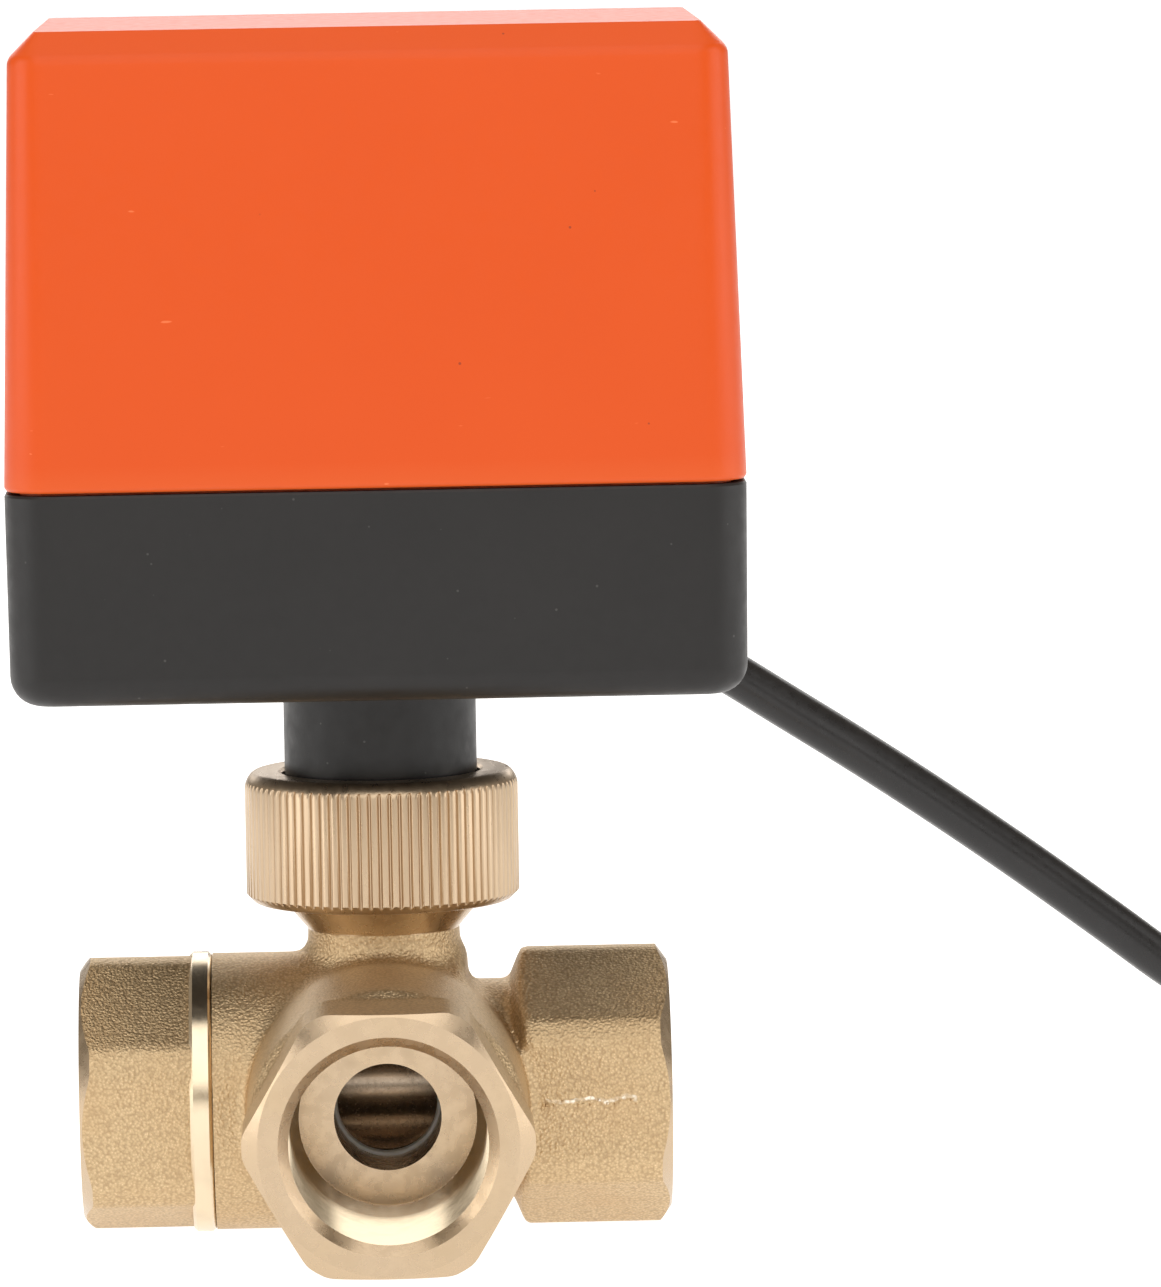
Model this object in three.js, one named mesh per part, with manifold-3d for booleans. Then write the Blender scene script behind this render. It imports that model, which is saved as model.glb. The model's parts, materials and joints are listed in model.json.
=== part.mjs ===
// Motorized three-way ball valve: a brass valve body with a T-bored ball, and on top of it an
// electric actuator with its motor, gear train, limit switches and lead.
// Millimetres, +Z up. The origin is on the surface the valve stands on, below the middle of its
// box without the lead. Inside the assembly group, the stem axis is x = y = 0 and the axis of
// the side ports is z = 0; all the heights below count from that axis.
import * as THREE from 'three';
import { mergeVertices } from 'three/addons/utils/BufferGeometryUtils.js';
import Module from 'manifold-3d';

const wasm = await Module();
wasm.setup();

// ---------------------------------------------------------------- driving dimensions

const GAP = 0.3; // between pieces that touch
const CUT = 0.5; // how far a cutting tool runs past a face

// sides of a round shape
const ROUND = 24;
const BORED = 16;
const SMALL = 8;

// valve
const COLLAR_R = 14.6; // turned collar of the end cap: the lowest point
const BARREL_R = 14.4;
const BRANCH_R = 14.5;
const WAIST_R = 11.2;
const BARREL_END = 8;
const WAIST_END = 13;
const PORT_R = 9.9; // inside a G1/2 socket, at half thread depth
const PORT_MOUTH_R = 11.1;
const PORT_MOUTH_CHAMFER = 0.9;
const PORT_DEPTH = 13.8;
const FRONT_PORT_DEPTH = 19.8;
const BORE_R = 5.5; // water way
const SIDE_HEX_AF = 26.5;
const SIDE_HEX_TURNED_R = 14.5;
const SIDE_HEX_CORNER = 2.2;
const FRONT_HEX_AF = 26.7;
const FRONT_HEX_TURNED_R = 14.75;
const LEFT_END = -31.7;
const LEFT_HEX_END = -20.3;
const COLLAR_END = -18;
const RIGHT_HEX_START = 14.4;
const RIGHT_END = 29.4;
const FRONT_END = 39.8; // counted towards the front
const FRONT_HEX_START = 28;
const CAP_HEX_TURN = 9.5; // degrees, where the cap's thread came tight
const CHAMBER_R = 10.2;
const SEAT_POCKET_R = 7.5;
const SEAT_BACK = 10.7; // pocket floor from the ball's centre
const BALL_R = 9.8;
const CAP_THREAD_R = 11.5;
const CAP_THREAD_END = -11.7;
const CAP_SLEEVE_R = 9.9;
const CAP_SLEEVE_END = -8;
const STEM_BORE_R = 4.8;
const STEM_COLLAR_R = 6;
const BONNET_R = 7.9;
const BONNET_TOP = 26;
const SPIGOT_R = 11.2;
const STEM_TOP = 36;
const STEM_SQUARE = 6.4;

// union nut
const NUT_R = 14.2;
const NUT_BOTTOM = 19.9;
const NUT_TOP = 33.5;
const NUT_SHOULDER = 30.2;

// actuator box
const BOX_W = 75;
const BOX_D = 57;
const BOX_CORNER = 5;
const BASE_Z = 43.35;
const JOINT_Z = 65;
const COVER_TOP = 111.3;
const WALL = 2.6;
const BASE_EDGE_R = 3;
const BASE_DRAFT = 0.2;
const COVER_DRAFT = 1.29; // how much each side leans in over the cover's height
const COVER_CHAMFER = 2.7;
const FLOOR_Z = BASE_Z + 3;
const LIP = 1.3; // what is left of the base's wall outside its rebate
const REBATE_Z = 61.9;
const NECK_R = 10;
const NECK_END = 26.4;
const NECK_BORE_R = 7.1;
const RING_GROOVE_R = 8.9;
const COVER_SCREW_X = 30.6;
const COVER_SCREW_Y = 21.6;
const COVER_SCREW_R = 1.4;
const BOSS_R = 3.6;

// gear pack
const MODULE = 0.75;
const PRESSURE = THREE.MathUtils.degToRad(28);
const PINION_TEETH = 8;
const WHEEL_TEETH = 32;
const BACKLASH = 0.12; // taken off each tooth at the pitch circle
const GEAR_DISTANCE = MODULE * (PINION_TEETH + WHEEL_TEETH) / 2;
const AXLE_A_ANGLE = THREE.MathUtils.degToRad(-35);
const AXLE_B_ANGLE = THREE.MathUtils.degToRad(78.3); // seen from axle A
const WHEEL_THICK = 2;
const AXLE_R = 1;
// heights of each compound gear: its wheel, the pinion below it, the foot of its hub
const STAGES = {
  gear_1: { wheel: 73.6, pinion: 70.6, hub: 70.6 },
  gear_2: { wheel: 70.8, pinion: 67.8, hub: 62 },
  gear_3: { wheel: 68, pinion: 61.9, hub: 61.9 },
};
const OUTPUT_GEAR_Z = [62.4, 66.4];
const MOTOR_PINION_Z = [73.3, 76.4];
const LOWER_PLATE_Z = 60;
const UPPER_PLATE_Z = 77;
const PLATE_THICK = 1.5;
const PILLAR_X = 23;
const PILLAR_Y = 20;
const PILLAR_Z = [52, 79.2];
const PILLAR_HOLE_R = 1.5;
const SHAFT_R = 5;
const SHAFT_TOP = 66.9;
const MOTOR_R = 23;
const MOTOR_Z = 80.1;
const MOTOR_TOP = 104.1;
const MOTOR_FLANGE_Z = [78.8, 79.8];
const MOTOR_EAR_X = 27;
const EAR_HOLE_R = 1.5;

// limit switches
const SWITCH_FACE_X = -14.6;
const SWITCH_HEIGHT = 6.2;
const LOWER_SWITCH_Z = 46.9;
const UPPER_SWITCH_Z = 53.4;
const LEVER_PIVOT = new THREE.Vector2(-13.5, -8);
const LEVER_LENGTH = 14;
const LEVER_FREE = THREE.MathUtils.degToRad(84);
const LEVER_PRESSED = THREE.MathUtils.degToRad(89);
const LEVER_TIP_R = 1.2;
const LEVER_TIP_OFFSET = 0.8; // from the leaf towards the cam
const LEVER_WIDTH = 3.4;
const CAM_GAP = 0.2;
const OUTPUT_TURN = Math.PI / 2;
const PLUNGER_Y = -2.5;
const SWITCH_HOLE_R = 1.2;
const SWITCH_SCREW_X = -21;
const SWITCH_SCREW_YS = [-4.8, 4.8];

// circuit board on the base's floor
const BOARD_Z = 49.5;
const BOARD_THICK = 1.6;
const BOARD_POSTS = [[16, 13], [16, -13], [31, 13], [31, -13]];

// lead
const LEAD_R = 2.5;
const LEAD_EXIT = new THREE.Vector3(12, BOX_D / 2, 51.5);
const BOOT_END = 48;
const COIL_CENTRE = new THREE.Vector2(121.2, 46.7);
const COIL_INNER_R = 17.5;
const COIL_OUTER_R = 32.6;
const TIE_THICK = 0.8;

// frame
const STEM_Y = (FRONT_END - BOX_D / 2) / 2;

// ---------------------------------------------------------------- shapes

const point = (x, y) => new THREE.Vector2(x, y);

// Turned piece about +Z; a profile of [radius, height] pairs, the outer side going up.
function turned(profile, segments = 32, closed = false) {
  const points = profile.map(([radius, height]) => point(radius, height));
  if (closed) points.push(points[0].clone());
  return new THREE.LatheGeometry(points, segments).rotateX(Math.PI / 2);
}

const rod = (radius, from, to, segments = 24) =>
  turned([[0, from], [radius, from], [radius, to], [0, to]], segments);

const ring = (inner, outer, from, to, segments = 32) =>
  turned([[inner, from], [outer, from], [outer, to], [inner, to]], segments, true);

const block = (x0, x1, y0, y1, z0, z1) =>
  new THREE.BoxGeometry(x1 - x0, y1 - y0, z1 - z0)
    .translate((x0 + x1) / 2, (y0 + y1) / 2, (z0 + z1) / 2);

const along = {
  x: (geometry) => geometry.rotateY(Math.PI / 2),
  front: (geometry) => geometry.rotateX(Math.PI / 2),
  rear: (geometry) => geometry.rotateX(-Math.PI / 2),
};

const prism = (shape, from, to, curveSegments = 8) =>
  new THREE.ExtrudeGeometry(shape, { depth: to - from, bevelEnabled: false, curveSegments })
    .translate(0, 0, from);

// Hexagon bar about +Z with two corners on the X axis and its corners rounded.
function hexBar(acrossFlats, cornerR, from, to) {
  const shape = new THREE.Shape();
  const centreR = (acrossFlats / 2 - cornerR) / Math.cos(Math.PI / 6);
  for (let corner = 0; corner < 6; corner += 1) {
    const middle = corner * Math.PI / 3;
    shape.absarc(centreR * Math.cos(middle), centreR * Math.sin(middle), cornerR,
      middle - Math.PI / 6, middle + Math.PI / 6, false);
  }
  return prism(shape, from, to, 1);
}

const CORNER_STEPS = 3;

// Rectangle with round corners, counterclockwise.
function roundedOutline(halfX, halfY, radius) {
  const corners = [[1, 1], [-1, 1], [-1, -1], [1, -1]];
  return corners.flatMap(([sideX, sideY], quarter) =>
    Array.from({ length: CORNER_STEPS + 1 }, (_, step) => {
      const angle = (quarter + step / CORNER_STEPS) * Math.PI / 2;
      return point(sideX * (halfX - radius) + radius * Math.cos(angle),
        sideY * (halfY - radius) + radius * Math.sin(angle));
    }));
}

// Box with round vertical corners through a list of levels: [height, inset from the joint's size].
function boxLoft(levels) {
  const positions = [];
  const index = [];
  for (const [height, inset] of levels) {
    const radius = Math.max(BOX_CORNER - inset, 1);
    for (const { x, y } of roundedOutline(BOX_W / 2 - inset, BOX_D / 2 - inset, radius)) {
      positions.push(x, y, height);
    }
  }
  const count = 4 * (CORNER_STEPS + 1);
  for (let level = 0; level < levels.length - 1; level += 1) {
    for (let i = 0; i < count; i += 1) {
      const a = level * count + i;
      const b = level * count + (i + 1) % count;
      index.push(a, b, b + count, a, b + count, a + count);
    }
  }
  const top = (levels.length - 1) * count;
  for (let i = 1; i < count - 1; i += 1) {
    index.push(0, i + 1, i, top, top + i, top + i + 1);
  }
  const geometry = new THREE.BufferGeometry();
  geometry.setAttribute('position', new THREE.Float32BufferAttribute(positions, 3));
  geometry.setIndex(index);
  return geometry;
}

// ---------------------------------------------------------------- cutting and joining

function solid(geometry) {
  const bare = geometry.clone();
  bare.deleteAttribute('normal');
  bare.deleteAttribute('uv');
  const merged = mergeVertices(bare, 1e-4);
  const corners = merged.index.array;
  const triVerts = [];
  for (let i = 0; i < corners.length; i += 3) {
    const [a, b, c] = corners.slice(i, i + 3);
    if (a !== b && b !== c && c !== a) triVerts.push(a, b, c);
  }
  return new wasm.Manifold(new wasm.Mesh({
    numProp: 3,
    vertProperties: merged.attributes.position.array,
    triVerts: new Uint32Array(triVerts),
  }));
}

function geometryOf(manifold) {
  const { vertProperties, triVerts } = manifold.getMesh();
  const indexed = new THREE.BufferGeometry();
  indexed.setAttribute('position', new THREE.BufferAttribute(vertProperties, 3));
  indexed.setIndex(new THREE.BufferAttribute(triVerts, 1));
  const geometry = indexed.toNonIndexed();
  geometry.computeVertexNormals();
  return geometry;
}

const join = (first, ...rest) =>
  geometryOf(rest.reduce((sum, geometry) => sum.add(solid(geometry)), solid(first)));

const cut = (first, ...tools) =>
  geometryOf(tools.reduce((rest, geometry) => rest.subtract(solid(geometry)), solid(first)));

const common = (first, second) => geometryOf(solid(first).intersect(solid(second)));

// ---------------------------------------------------------------- materials

const finish = (color, roughness, metalness = 0) => ({ color, roughness, metalness });

const FINISHES = {
  castBrass: finish(0xc39c60, 0.55, 1),
  turnedBrass: finish(0xd2b083, 0.3, 1),
  whitePlastic: finish(0xe8e4da, 0.5),
  rubber: finish(0x1b1b1b, 0.8),
  orangePlastic: finish(0xf2622a, 0.4),
  blackPlastic: finish(0x3a3837, 0.5),
  steel: finish(0xb8bbbd, 0.35, 1),
  bronze: finish(0xa87b45, 0.5, 1),
  gearPlastic: finish(0xe6dfc8, 0.5),
  copperWire: finish(0xb5703a, 0.4, 0.8),
  magnet: finish(0x2b2b2e, 0.7),
  boardGreen: finish(0x1f5c3a, 0.5),
  capacitorYellow: finish(0xc9a227, 0.5),
  terminalGreen: finish(0x2f7d4f, 0.5),
  leadBlack: finish(0x232222, 0.5),
  coreBlue: finish(0x2a4f9c, 0.5),
  coreBrown: finish(0x6b3f22, 0.5),
  coreYellow: finish(0xc9b02a, 0.5),
};

const mesh = (name, finishName, geometry) => {
  const made = new THREE.Mesh(geometry, new THREE.MeshStandardMaterial(FINISHES[finishName]));
  made.name = name;
  return made;
};

// ---------------------------------------------------------------- valve

// What the pipe socket at the end of a port leaves open, from the port's floor to its mouth.
const portProfile = (floor, end) => [
  [BORE_R, floor], [PORT_R, floor], [PORT_R, end - PORT_MOUTH_CHAMFER], [PORT_MOUTH_R, end],
  [PORT_MOUTH_R, end + CUT],
];

// Limits a hexagon to its turned end: full width until a steep chamfer at the face.
const turnedEnd = (radius, from, end) =>
  turned([[0, from], [radius, from], [radius, end - 1.1], [radius - 1.6, end], [0, end]], ROUND);

function valveBody() {
  const barrel = along.x(rod(BARREL_R, COLLAR_END + GAP, BARREL_END, ROUND));
  const waist = along.x(turned([
    [0, BARREL_END - 1], [BARREL_R - 0.4, BARREL_END], [WAIST_R + 0.5, BARREL_END + 0.8],
    [WAIST_R, BARREL_END + 1.6], [WAIST_R, WAIST_END], [14.2, RIGHT_HEX_START], [0, RIGHT_HEX_START + 1],
  ], ROUND));
  const rightHex = along.x(common(
    hexBar(SIDE_HEX_AF, SIDE_HEX_CORNER, RIGHT_HEX_START - 0.4, RIGHT_END),
    turnedEnd(SIDE_HEX_TURNED_R, RIGHT_HEX_START - 1, RIGHT_END)));
  const branch = along.front(turned([
    [0, 1], [BRANCH_R - 1.2, 2], [BRANCH_R, 11], [BRANCH_R, 25.5],
    [BRANCH_R - 0.9, FRONT_HEX_START], [0, FRONT_HEX_START],
  ], ROUND));
  const frontHex = along.front(common(
    hexBar(FRONT_HEX_AF, 0.6, FRONT_HEX_START - 0.4, FRONT_END),
    turnedEnd(FRONT_HEX_TURNED_R, FRONT_HEX_START - 1, FRONT_END)));
  const bonnet = turned([
    [0, 2], [BONNET_R + 3.4, 12.4], [BONNET_R + 1.3, 13.8], [BONNET_R, 15.6], [BONNET_R, 17.4],
    [SPIGOT_R, 20.9], [SPIGOT_R, BONNET_TOP], [0, BONNET_TOP],
  ], BORED);
  const outside = join(barrel, waist, rightHex, branch, frontHex, bonnet);

  const alongBarrel = along.x(turned([
    [0, COLLAR_END - CUT], [CAP_THREAD_R + GAP, COLLAR_END - CUT], [CAP_THREAD_R + GAP, -10.3],
    [CHAMBER_R, -10.3], [CHAMBER_R, 7.2], [SEAT_POCKET_R, 7.2], [SEAT_POCKET_R, SEAT_BACK],
    [BORE_R, SEAT_BACK], ...portProfile(RIGHT_END - PORT_DEPTH, RIGHT_END), [0, RIGHT_END + CUT],
  ], BORED));
  const alongBranch = along.front(turned([
    [0, 0], [SEAT_POCKET_R, 0], [SEAT_POCKET_R, SEAT_BACK],
    [BORE_R, SEAT_BACK], ...portProfile(FRONT_END - FRONT_PORT_DEPTH, FRONT_END), [0, FRONT_END + CUT],
  ], BORED));
  const forStem = turned([
    [0, 0], [STEM_COLLAR_R + 0.4, 0], [STEM_COLLAR_R + 0.4, 13.2], [STEM_BORE_R, 13.2],
    [STEM_BORE_R, BONNET_TOP + CUT], [0, BONNET_TOP + CUT],
  ], 16);
  return mesh('valve_body', 'castBrass', cut(outside, alongBarrel, alongBranch, forStem));
}

function endCap() {
  const hex = common(
    hexBar(SIDE_HEX_AF, SIDE_HEX_CORNER, -LEFT_HEX_END - 0.4, -LEFT_END),
    turnedEnd(SIDE_HEX_TURNED_R, -LEFT_HEX_END - 1, -LEFT_END)).rotateY(-Math.PI / 2)
    .rotateX(THREE.MathUtils.degToRad(CAP_HEX_TURN));
  const sleeve = along.x(turned([
    [0, LEFT_HEX_END], [COLLAR_R, LEFT_HEX_END], [COLLAR_R, COLLAR_END], [CAP_THREAD_R, COLLAR_END],
    [CAP_THREAD_R, CAP_THREAD_END], [CAP_SLEEVE_R, CAP_THREAD_END],
    [CAP_SLEEVE_R, CAP_SLEEVE_END], [0, CAP_SLEEVE_END],
  ], ROUND));
  const opening = turned([
    [0, -CAP_SLEEVE_END - CUT], [SEAT_POCKET_R, -CAP_SLEEVE_END - CUT], [SEAT_POCKET_R, SEAT_BACK],
    [BORE_R, SEAT_BACK], ...portProfile(-LEFT_END - PORT_DEPTH, -LEFT_END), [0, -LEFT_END + CUT],
  ], BORED).rotateY(-Math.PI / 2);
  return mesh('end_cap', 'castBrass', cut(join(hex, sleeve), opening));
}

// The ball is bored through along X and from its middle to the front; its slot takes the stem.
function ball() {
  const sphere = new THREE.SphereGeometry(BALL_R, 20, 12);
  const through = along.x(rod(BORE_R, -BALL_R - CUT, BALL_R + CUT, 16));
  const side = along.front(rod(BORE_R, 0, BALL_R + CUT, 16));
  const slot = block(-BALL_R, BALL_R, -1.8, 1.8, 6.6, BALL_R + CUT);
  return mesh('ball', 'steel', cut(sphere, through, side, slot));
}

const seat = (name) => mesh(name, 'whitePlastic', turned([
  [BORE_R + 0.2, 8.3], [SEAT_POCKET_R - GAP, 7.35], [SEAT_POCKET_R - GAP, SEAT_BACK - GAP],
  [BORE_R + 0.2, SEAT_BACK - GAP],
], BORED, true));

function stem() {
  const groove = (middle) => [
    [4.5, middle - 0.95], [3, middle - 0.95], [3, middle + 0.95], [4.5, middle + 0.95],
  ];
  const round = turned([
    [0, 10.2], [STEM_COLLAR_R, 10.2], [STEM_COLLAR_R, 11.8], [4.5, 11.8],
    ...groove(16.4), ...groove(20.4), [4.5, BONNET_TOP + 0.4], [0, BONNET_TOP + 0.4],
  ], 16);
  const half = STEM_SQUARE / 2;
  const square = block(-half, half, -half, half, BONNET_TOP, STEM_TOP);
  const tang = common(block(-6, 6, -1.5, 1.5, 6.9, 10.6), rod(STEM_COLLAR_R, 6, 11, 16));
  return mesh('stem', 'steel', join(round, square, tang));
}

function stemSeal(name, height) {
  const section = new THREE.Shape().absarc(3.85, 0, 0.6, 0, 2 * Math.PI, false);
  const profile = section.getPoints(3).slice(0, -1).map(({ x, y }) => [x, y]);
  const made = mesh(name, 'rubber', turned(profile, 16, true));
  made.position.z = height;
  return made;
}

const unionNut = () => mesh('union_nut', 'turnedBrass', turned([
  [SPIGOT_R + GAP, NUT_BOTTOM], [NUT_R - 1, NUT_BOTTOM], [NUT_R, NUT_BOTTOM + 0.8],
  [NUT_R, NUT_TOP - 1.4], [NUT_R - 1.4, NUT_TOP], [NECK_R + 0.35, NUT_TOP],
  [NECK_R + 0.35, NUT_SHOULDER], [SPIGOT_R + GAP, NUT_SHOULDER],
], ROUND, true));

// An open spring ring in the neck's groove, on which the nut's shoulder pulls.
function retainingRing() {
  const open = THREE.MathUtils.degToRad(9);
  const shape = new THREE.Shape();
  shape.absarc(0, 0, SPIGOT_R, open, 2 * Math.PI - open, false);
  shape.absarc(0, 0, RING_GROOVE_R + GAP, 2 * Math.PI - open, open, true);
  return mesh('nut_retaining_ring', 'steel', prism(shape, 28.6, NUT_SHOULDER - GAP, 10));
}

function valve() {
  const group = new THREE.Group();
  const seats = { seat_right: [0, Math.PI / 2, 0], seat_left: [0, -Math.PI / 2, 0],
    seat_front: [Math.PI / 2, 0, 0] };
  for (const [name, turns] of Object.entries(seats)) {
    const made = seat(name);
    made.rotation.set(...turns);
    group.add(made);
  }
  const capSeal = mesh('cap_seal', 'whitePlastic',
    along.x(ring(CAP_SLEEVE_R + 0.4, CAP_THREAD_R, CAP_THREAD_END + GAP, -10.6, BORED)));
  group.add(valveBody(), endCap(), capSeal, ball(), stem());
  group.add(stemSeal('stem_oring_lower', 16.4), stemSeal('stem_oring_upper', 20.4));
  group.add(mesh('thrust_washer', 'whitePlastic', ring(STEM_BORE_R, STEM_COLLAR_R, 12.1, 12.9, 16)));
  group.add(unionNut(), retainingRing());
  return group;
}

// ---------------------------------------------------------------- actuator housing

const fourCorners = [[1, 1], [-1, 1], [-1, -1], [1, -1]];

const atCorners = (x, y, make) =>
  fourCorners.map(([sideX, sideY]) => make().translate(sideX * x, sideY * y, 0));

function baseHousing() {
  const arc = BASE_EDGE_R * (1 - Math.SQRT1_2);
  const outside = boxLoft([
    [BASE_Z, BASE_DRAFT + BASE_EDGE_R], [BASE_Z + arc, BASE_DRAFT + arc],
    [BASE_Z + BASE_EDGE_R, BASE_DRAFT], [JOINT_Z - GAP / 2, 0],
  ]);
  const neck = turned([
    [0, NECK_END], [NECK_R, NECK_END], [NECK_R, 28.3], [RING_GROOVE_R, 28.3],
    [RING_GROOVE_R, NUT_SHOULDER], [NECK_R, NUT_SHOULDER], [NECK_R, BASE_Z + 1], [0, BASE_Z + 1],
  ], ROUND);
  const hollow = boxLoft([[FLOOR_Z, WALL], [JOINT_Z + CUT, WALL]]);
  const rebate = boxLoft([[REBATE_Z, LIP], [JOINT_Z + CUT, LIP]]);
  const shell = cut(join(outside, neck), hollow, rebate);

  const floorOverlap = FLOOR_Z - 0.5;
  const bosses = atCorners(COVER_SCREW_X, COVER_SCREW_Y,
    () => rod(BOSS_R, floorOverlap, JOINT_Z - GAP / 2, SMALL));
  const posts = atCorners(PILLAR_X, PILLAR_Y,
    () => rod(3, floorOverlap, LOWER_PLATE_Z - GAP, SMALL));
  const boardPosts = BOARD_POSTS.map(([x, y]) => turned([
    [0, floorOverlap], [2, floorOverlap], [2, BOARD_Z - GAP], [1, BOARD_Z - GAP],
    [1, BOARD_Z + 2.5], [0, BOARD_Z + 2.5],
  ], 6).translate(x, y, 0));
  const filled = join(shell, ...bosses, ...posts, ...boardPosts);

  const screwHoles = atCorners(COVER_SCREW_X, COVER_SCREW_Y, () => turned([
    [0, BASE_Z - CUT], [3.1, BASE_Z - CUT], [3.1, BASE_Z + 2.6], [COVER_SCREW_R + GAP, BASE_Z + 2.6],
    [COVER_SCREW_R + GAP, JOINT_Z + CUT], [0, JOINT_Z + CUT],
  ], SMALL));
  const postHoles = atCorners(PILLAR_X, PILLAR_Y,
    () => rod(PILLAR_HOLE_R, PILLAR_Z[0] - CUT, LOWER_PLATE_Z + CUT, SMALL));
  const neckBore = rod(NECK_BORE_R, NECK_END - CUT, FLOOR_Z + CUT, BORED);
  const leadHole = along.rear(rod(4.1, BOX_D / 2 - WALL - CUT, BOX_D / 2 + CUT, 12))
    .translate(LEAD_EXIT.x, 0, LEAD_EXIT.z);
  return mesh('base_housing', 'blackPlastic',
    cut(filled, neckBore, leadHole, ...screwHoles, ...postHoles));
}

function cover() {
  const bottom = JOINT_Z + GAP / 2;
  const chamferZ = COVER_TOP - COVER_CHAMFER;
  const outside = boxLoft([
    [bottom, 0], [chamferZ, COVER_DRAFT], [COVER_TOP, COVER_DRAFT + COVER_CHAMFER],
  ]);
  const tongue = boxLoft([[REBATE_Z + 1.6, LIP + GAP], [bottom + 1, LIP + GAP]]);
  const hollow = boxLoft([
    [REBATE_Z + 1, WALL], [bottom, WALL], [COVER_TOP - WALL, WALL + COVER_DRAFT],
  ]);
  const shell = cut(join(outside, tongue), hollow);
  const ceiling = COVER_TOP - WALL;
  const bosses = atCorners(COVER_SCREW_X, COVER_SCREW_Y,
    () => rod(BOSS_R, bottom, ceiling + 0.5, SMALL));
  const clear = boxLoft([[bottom - 4, COVER_DRAFT + 0.6], [ceiling + 1, COVER_DRAFT + 0.6]]);
  const inside = bosses.map((boss) => common(boss, clear));
  const pilots = atCorners(COVER_SCREW_X, COVER_SCREW_Y,
    () => rod(COVER_SCREW_R + GAP, bottom - CUT, 84, 8));
  return mesh('cover', 'orangePlastic', cut(join(shell, ...inside), ...pilots));
}

const coverGasket = () => mesh('cover_gasket', 'rubber', cut(
  boxLoft([[REBATE_Z + GAP, LIP + GAP], [REBATE_Z + 1.3, LIP + GAP]]),
  boxLoft([[REBATE_Z, WALL - 0.1], [REBATE_Z + 2, WALL - 0.1]])));

function screw(name, headR, headHeight, shankR, length) {
  return mesh(name, 'steel', turned([
    [0, 0], [headR - 0.5, 0], [headR, 0.5], [headR, headHeight], [shankR, headHeight],
    [shankR, length], [0, length],
  ], SMALL));
}

function housing() {
  const group = new THREE.Group();
  group.add(baseHousing(), cover(), coverGasket());
  fourCorners.forEach(([sideX, sideY], i) => {
    const made = screw(`cover_screw_${i + 1}`, 2.7, 1.8, COVER_SCREW_R, 38);
    made.position.set(sideX * COVER_SCREW_X, sideY * COVER_SCREW_Y, BASE_Z + 0.5);
    group.add(made);
  });
  return group;
}

// ---------------------------------------------------------------- gear train

const involute = (angle) => Math.tan(angle) - angle;

// Spur gear about +Z with a tooth on the X axis and stub teeth.
function gear(teeth, boreR, from, to) {
  const pitchR = MODULE * teeth / 2;
  const baseR = pitchR * Math.cos(PRESSURE);
  const rootR = pitchR - 1.25 * MODULE;
  const tipR = pitchR + 0.8 * MODULE;
  const startR = Math.max(baseR, rootR);
  const atPitch = Math.PI / (2 * teeth) - BACKLASH / (2 * pitchR);
  const halfTooth = (radius) =>
    atPitch + involute(PRESSURE) - involute(Math.acos(Math.min(1, baseR / radius)));
  const flank = [startR, tipR].map((radius) => [radius, halfTooth(radius)]);
  if (startR > rootR) flank.unshift([rootR, halfTooth(startR)]);
  const outline = [];
  for (let tooth = 0; tooth < teeth; tooth += 1) {
    const middle = 2 * Math.PI * tooth / teeth;
    const at = ([radius, angle], side) =>
      point(radius * Math.cos(middle + side * angle), radius * Math.sin(middle + side * angle));
    outline.push(...flank.map((step) => at(step, -1)));
    outline.push(...flank.toReversed().map((step) => at(step, 1)));
  }
  const shape = new THREE.Shape(outline);
  if (boreR > 0) shape.holes.push(new THREE.Path().absarc(0, 0, boreR, 0, 2 * Math.PI, true));
  return prism(shape, from, to, 5);
}

// The turn that puts a follower in mesh: its centre lies at the given bearing from the driver's.
const meshedTurn = (driverTurn, driverTeeth, teeth, bearing) =>
  bearing + Math.PI + Math.PI / teeth - (driverTurn - bearing) * driverTeeth / teeth;

const axleA = point(GEAR_DISTANCE, 0).rotateAround(point(0, 0), AXLE_A_ANGLE);
const axleB = axleA.clone().add(point(GEAR_DISTANCE, 0).rotateAround(point(0, 0), AXLE_B_ANGLE));
const toPinion = (turn, bearing) => meshedTurn(turn, WHEEL_TEETH, PINION_TEETH, bearing);
const gear3Turn = toPinion(0, AXLE_A_ANGLE);
const gear2Turn = toPinion(gear3Turn, AXLE_B_ANGLE);
const gear1Turn = toPinion(gear2Turn, AXLE_B_ANGLE + Math.PI);
const rotorTurn = toPinion(gear1Turn, AXLE_A_ANGLE + Math.PI);

// A wheel with the next stage's pinion below it and a hub down to where it rests.
function compoundGear(name, axle, turn) {
  const { wheel, pinion, hub } = STAGES[name];
  const wheelDisc = gear(WHEEL_TEETH, 0, wheel, wheel + WHEEL_THICK);
  const parts = [wheelDisc, gear(PINION_TEETH, 0, pinion, wheel + 0.2)];
  if (hub < pinion) parts.push(rod(2, hub, pinion + 0.2, 8));
  const bore = rod(AXLE_R + GAP, hub - CUT, wheel + WHEEL_THICK + CUT, 8);
  const made = mesh(name, 'gearPlastic', cut(join(...parts), bore));
  made.position.set(axle.x, axle.y, 0);
  made.rotation.z = turn;
  return made;
}

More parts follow.
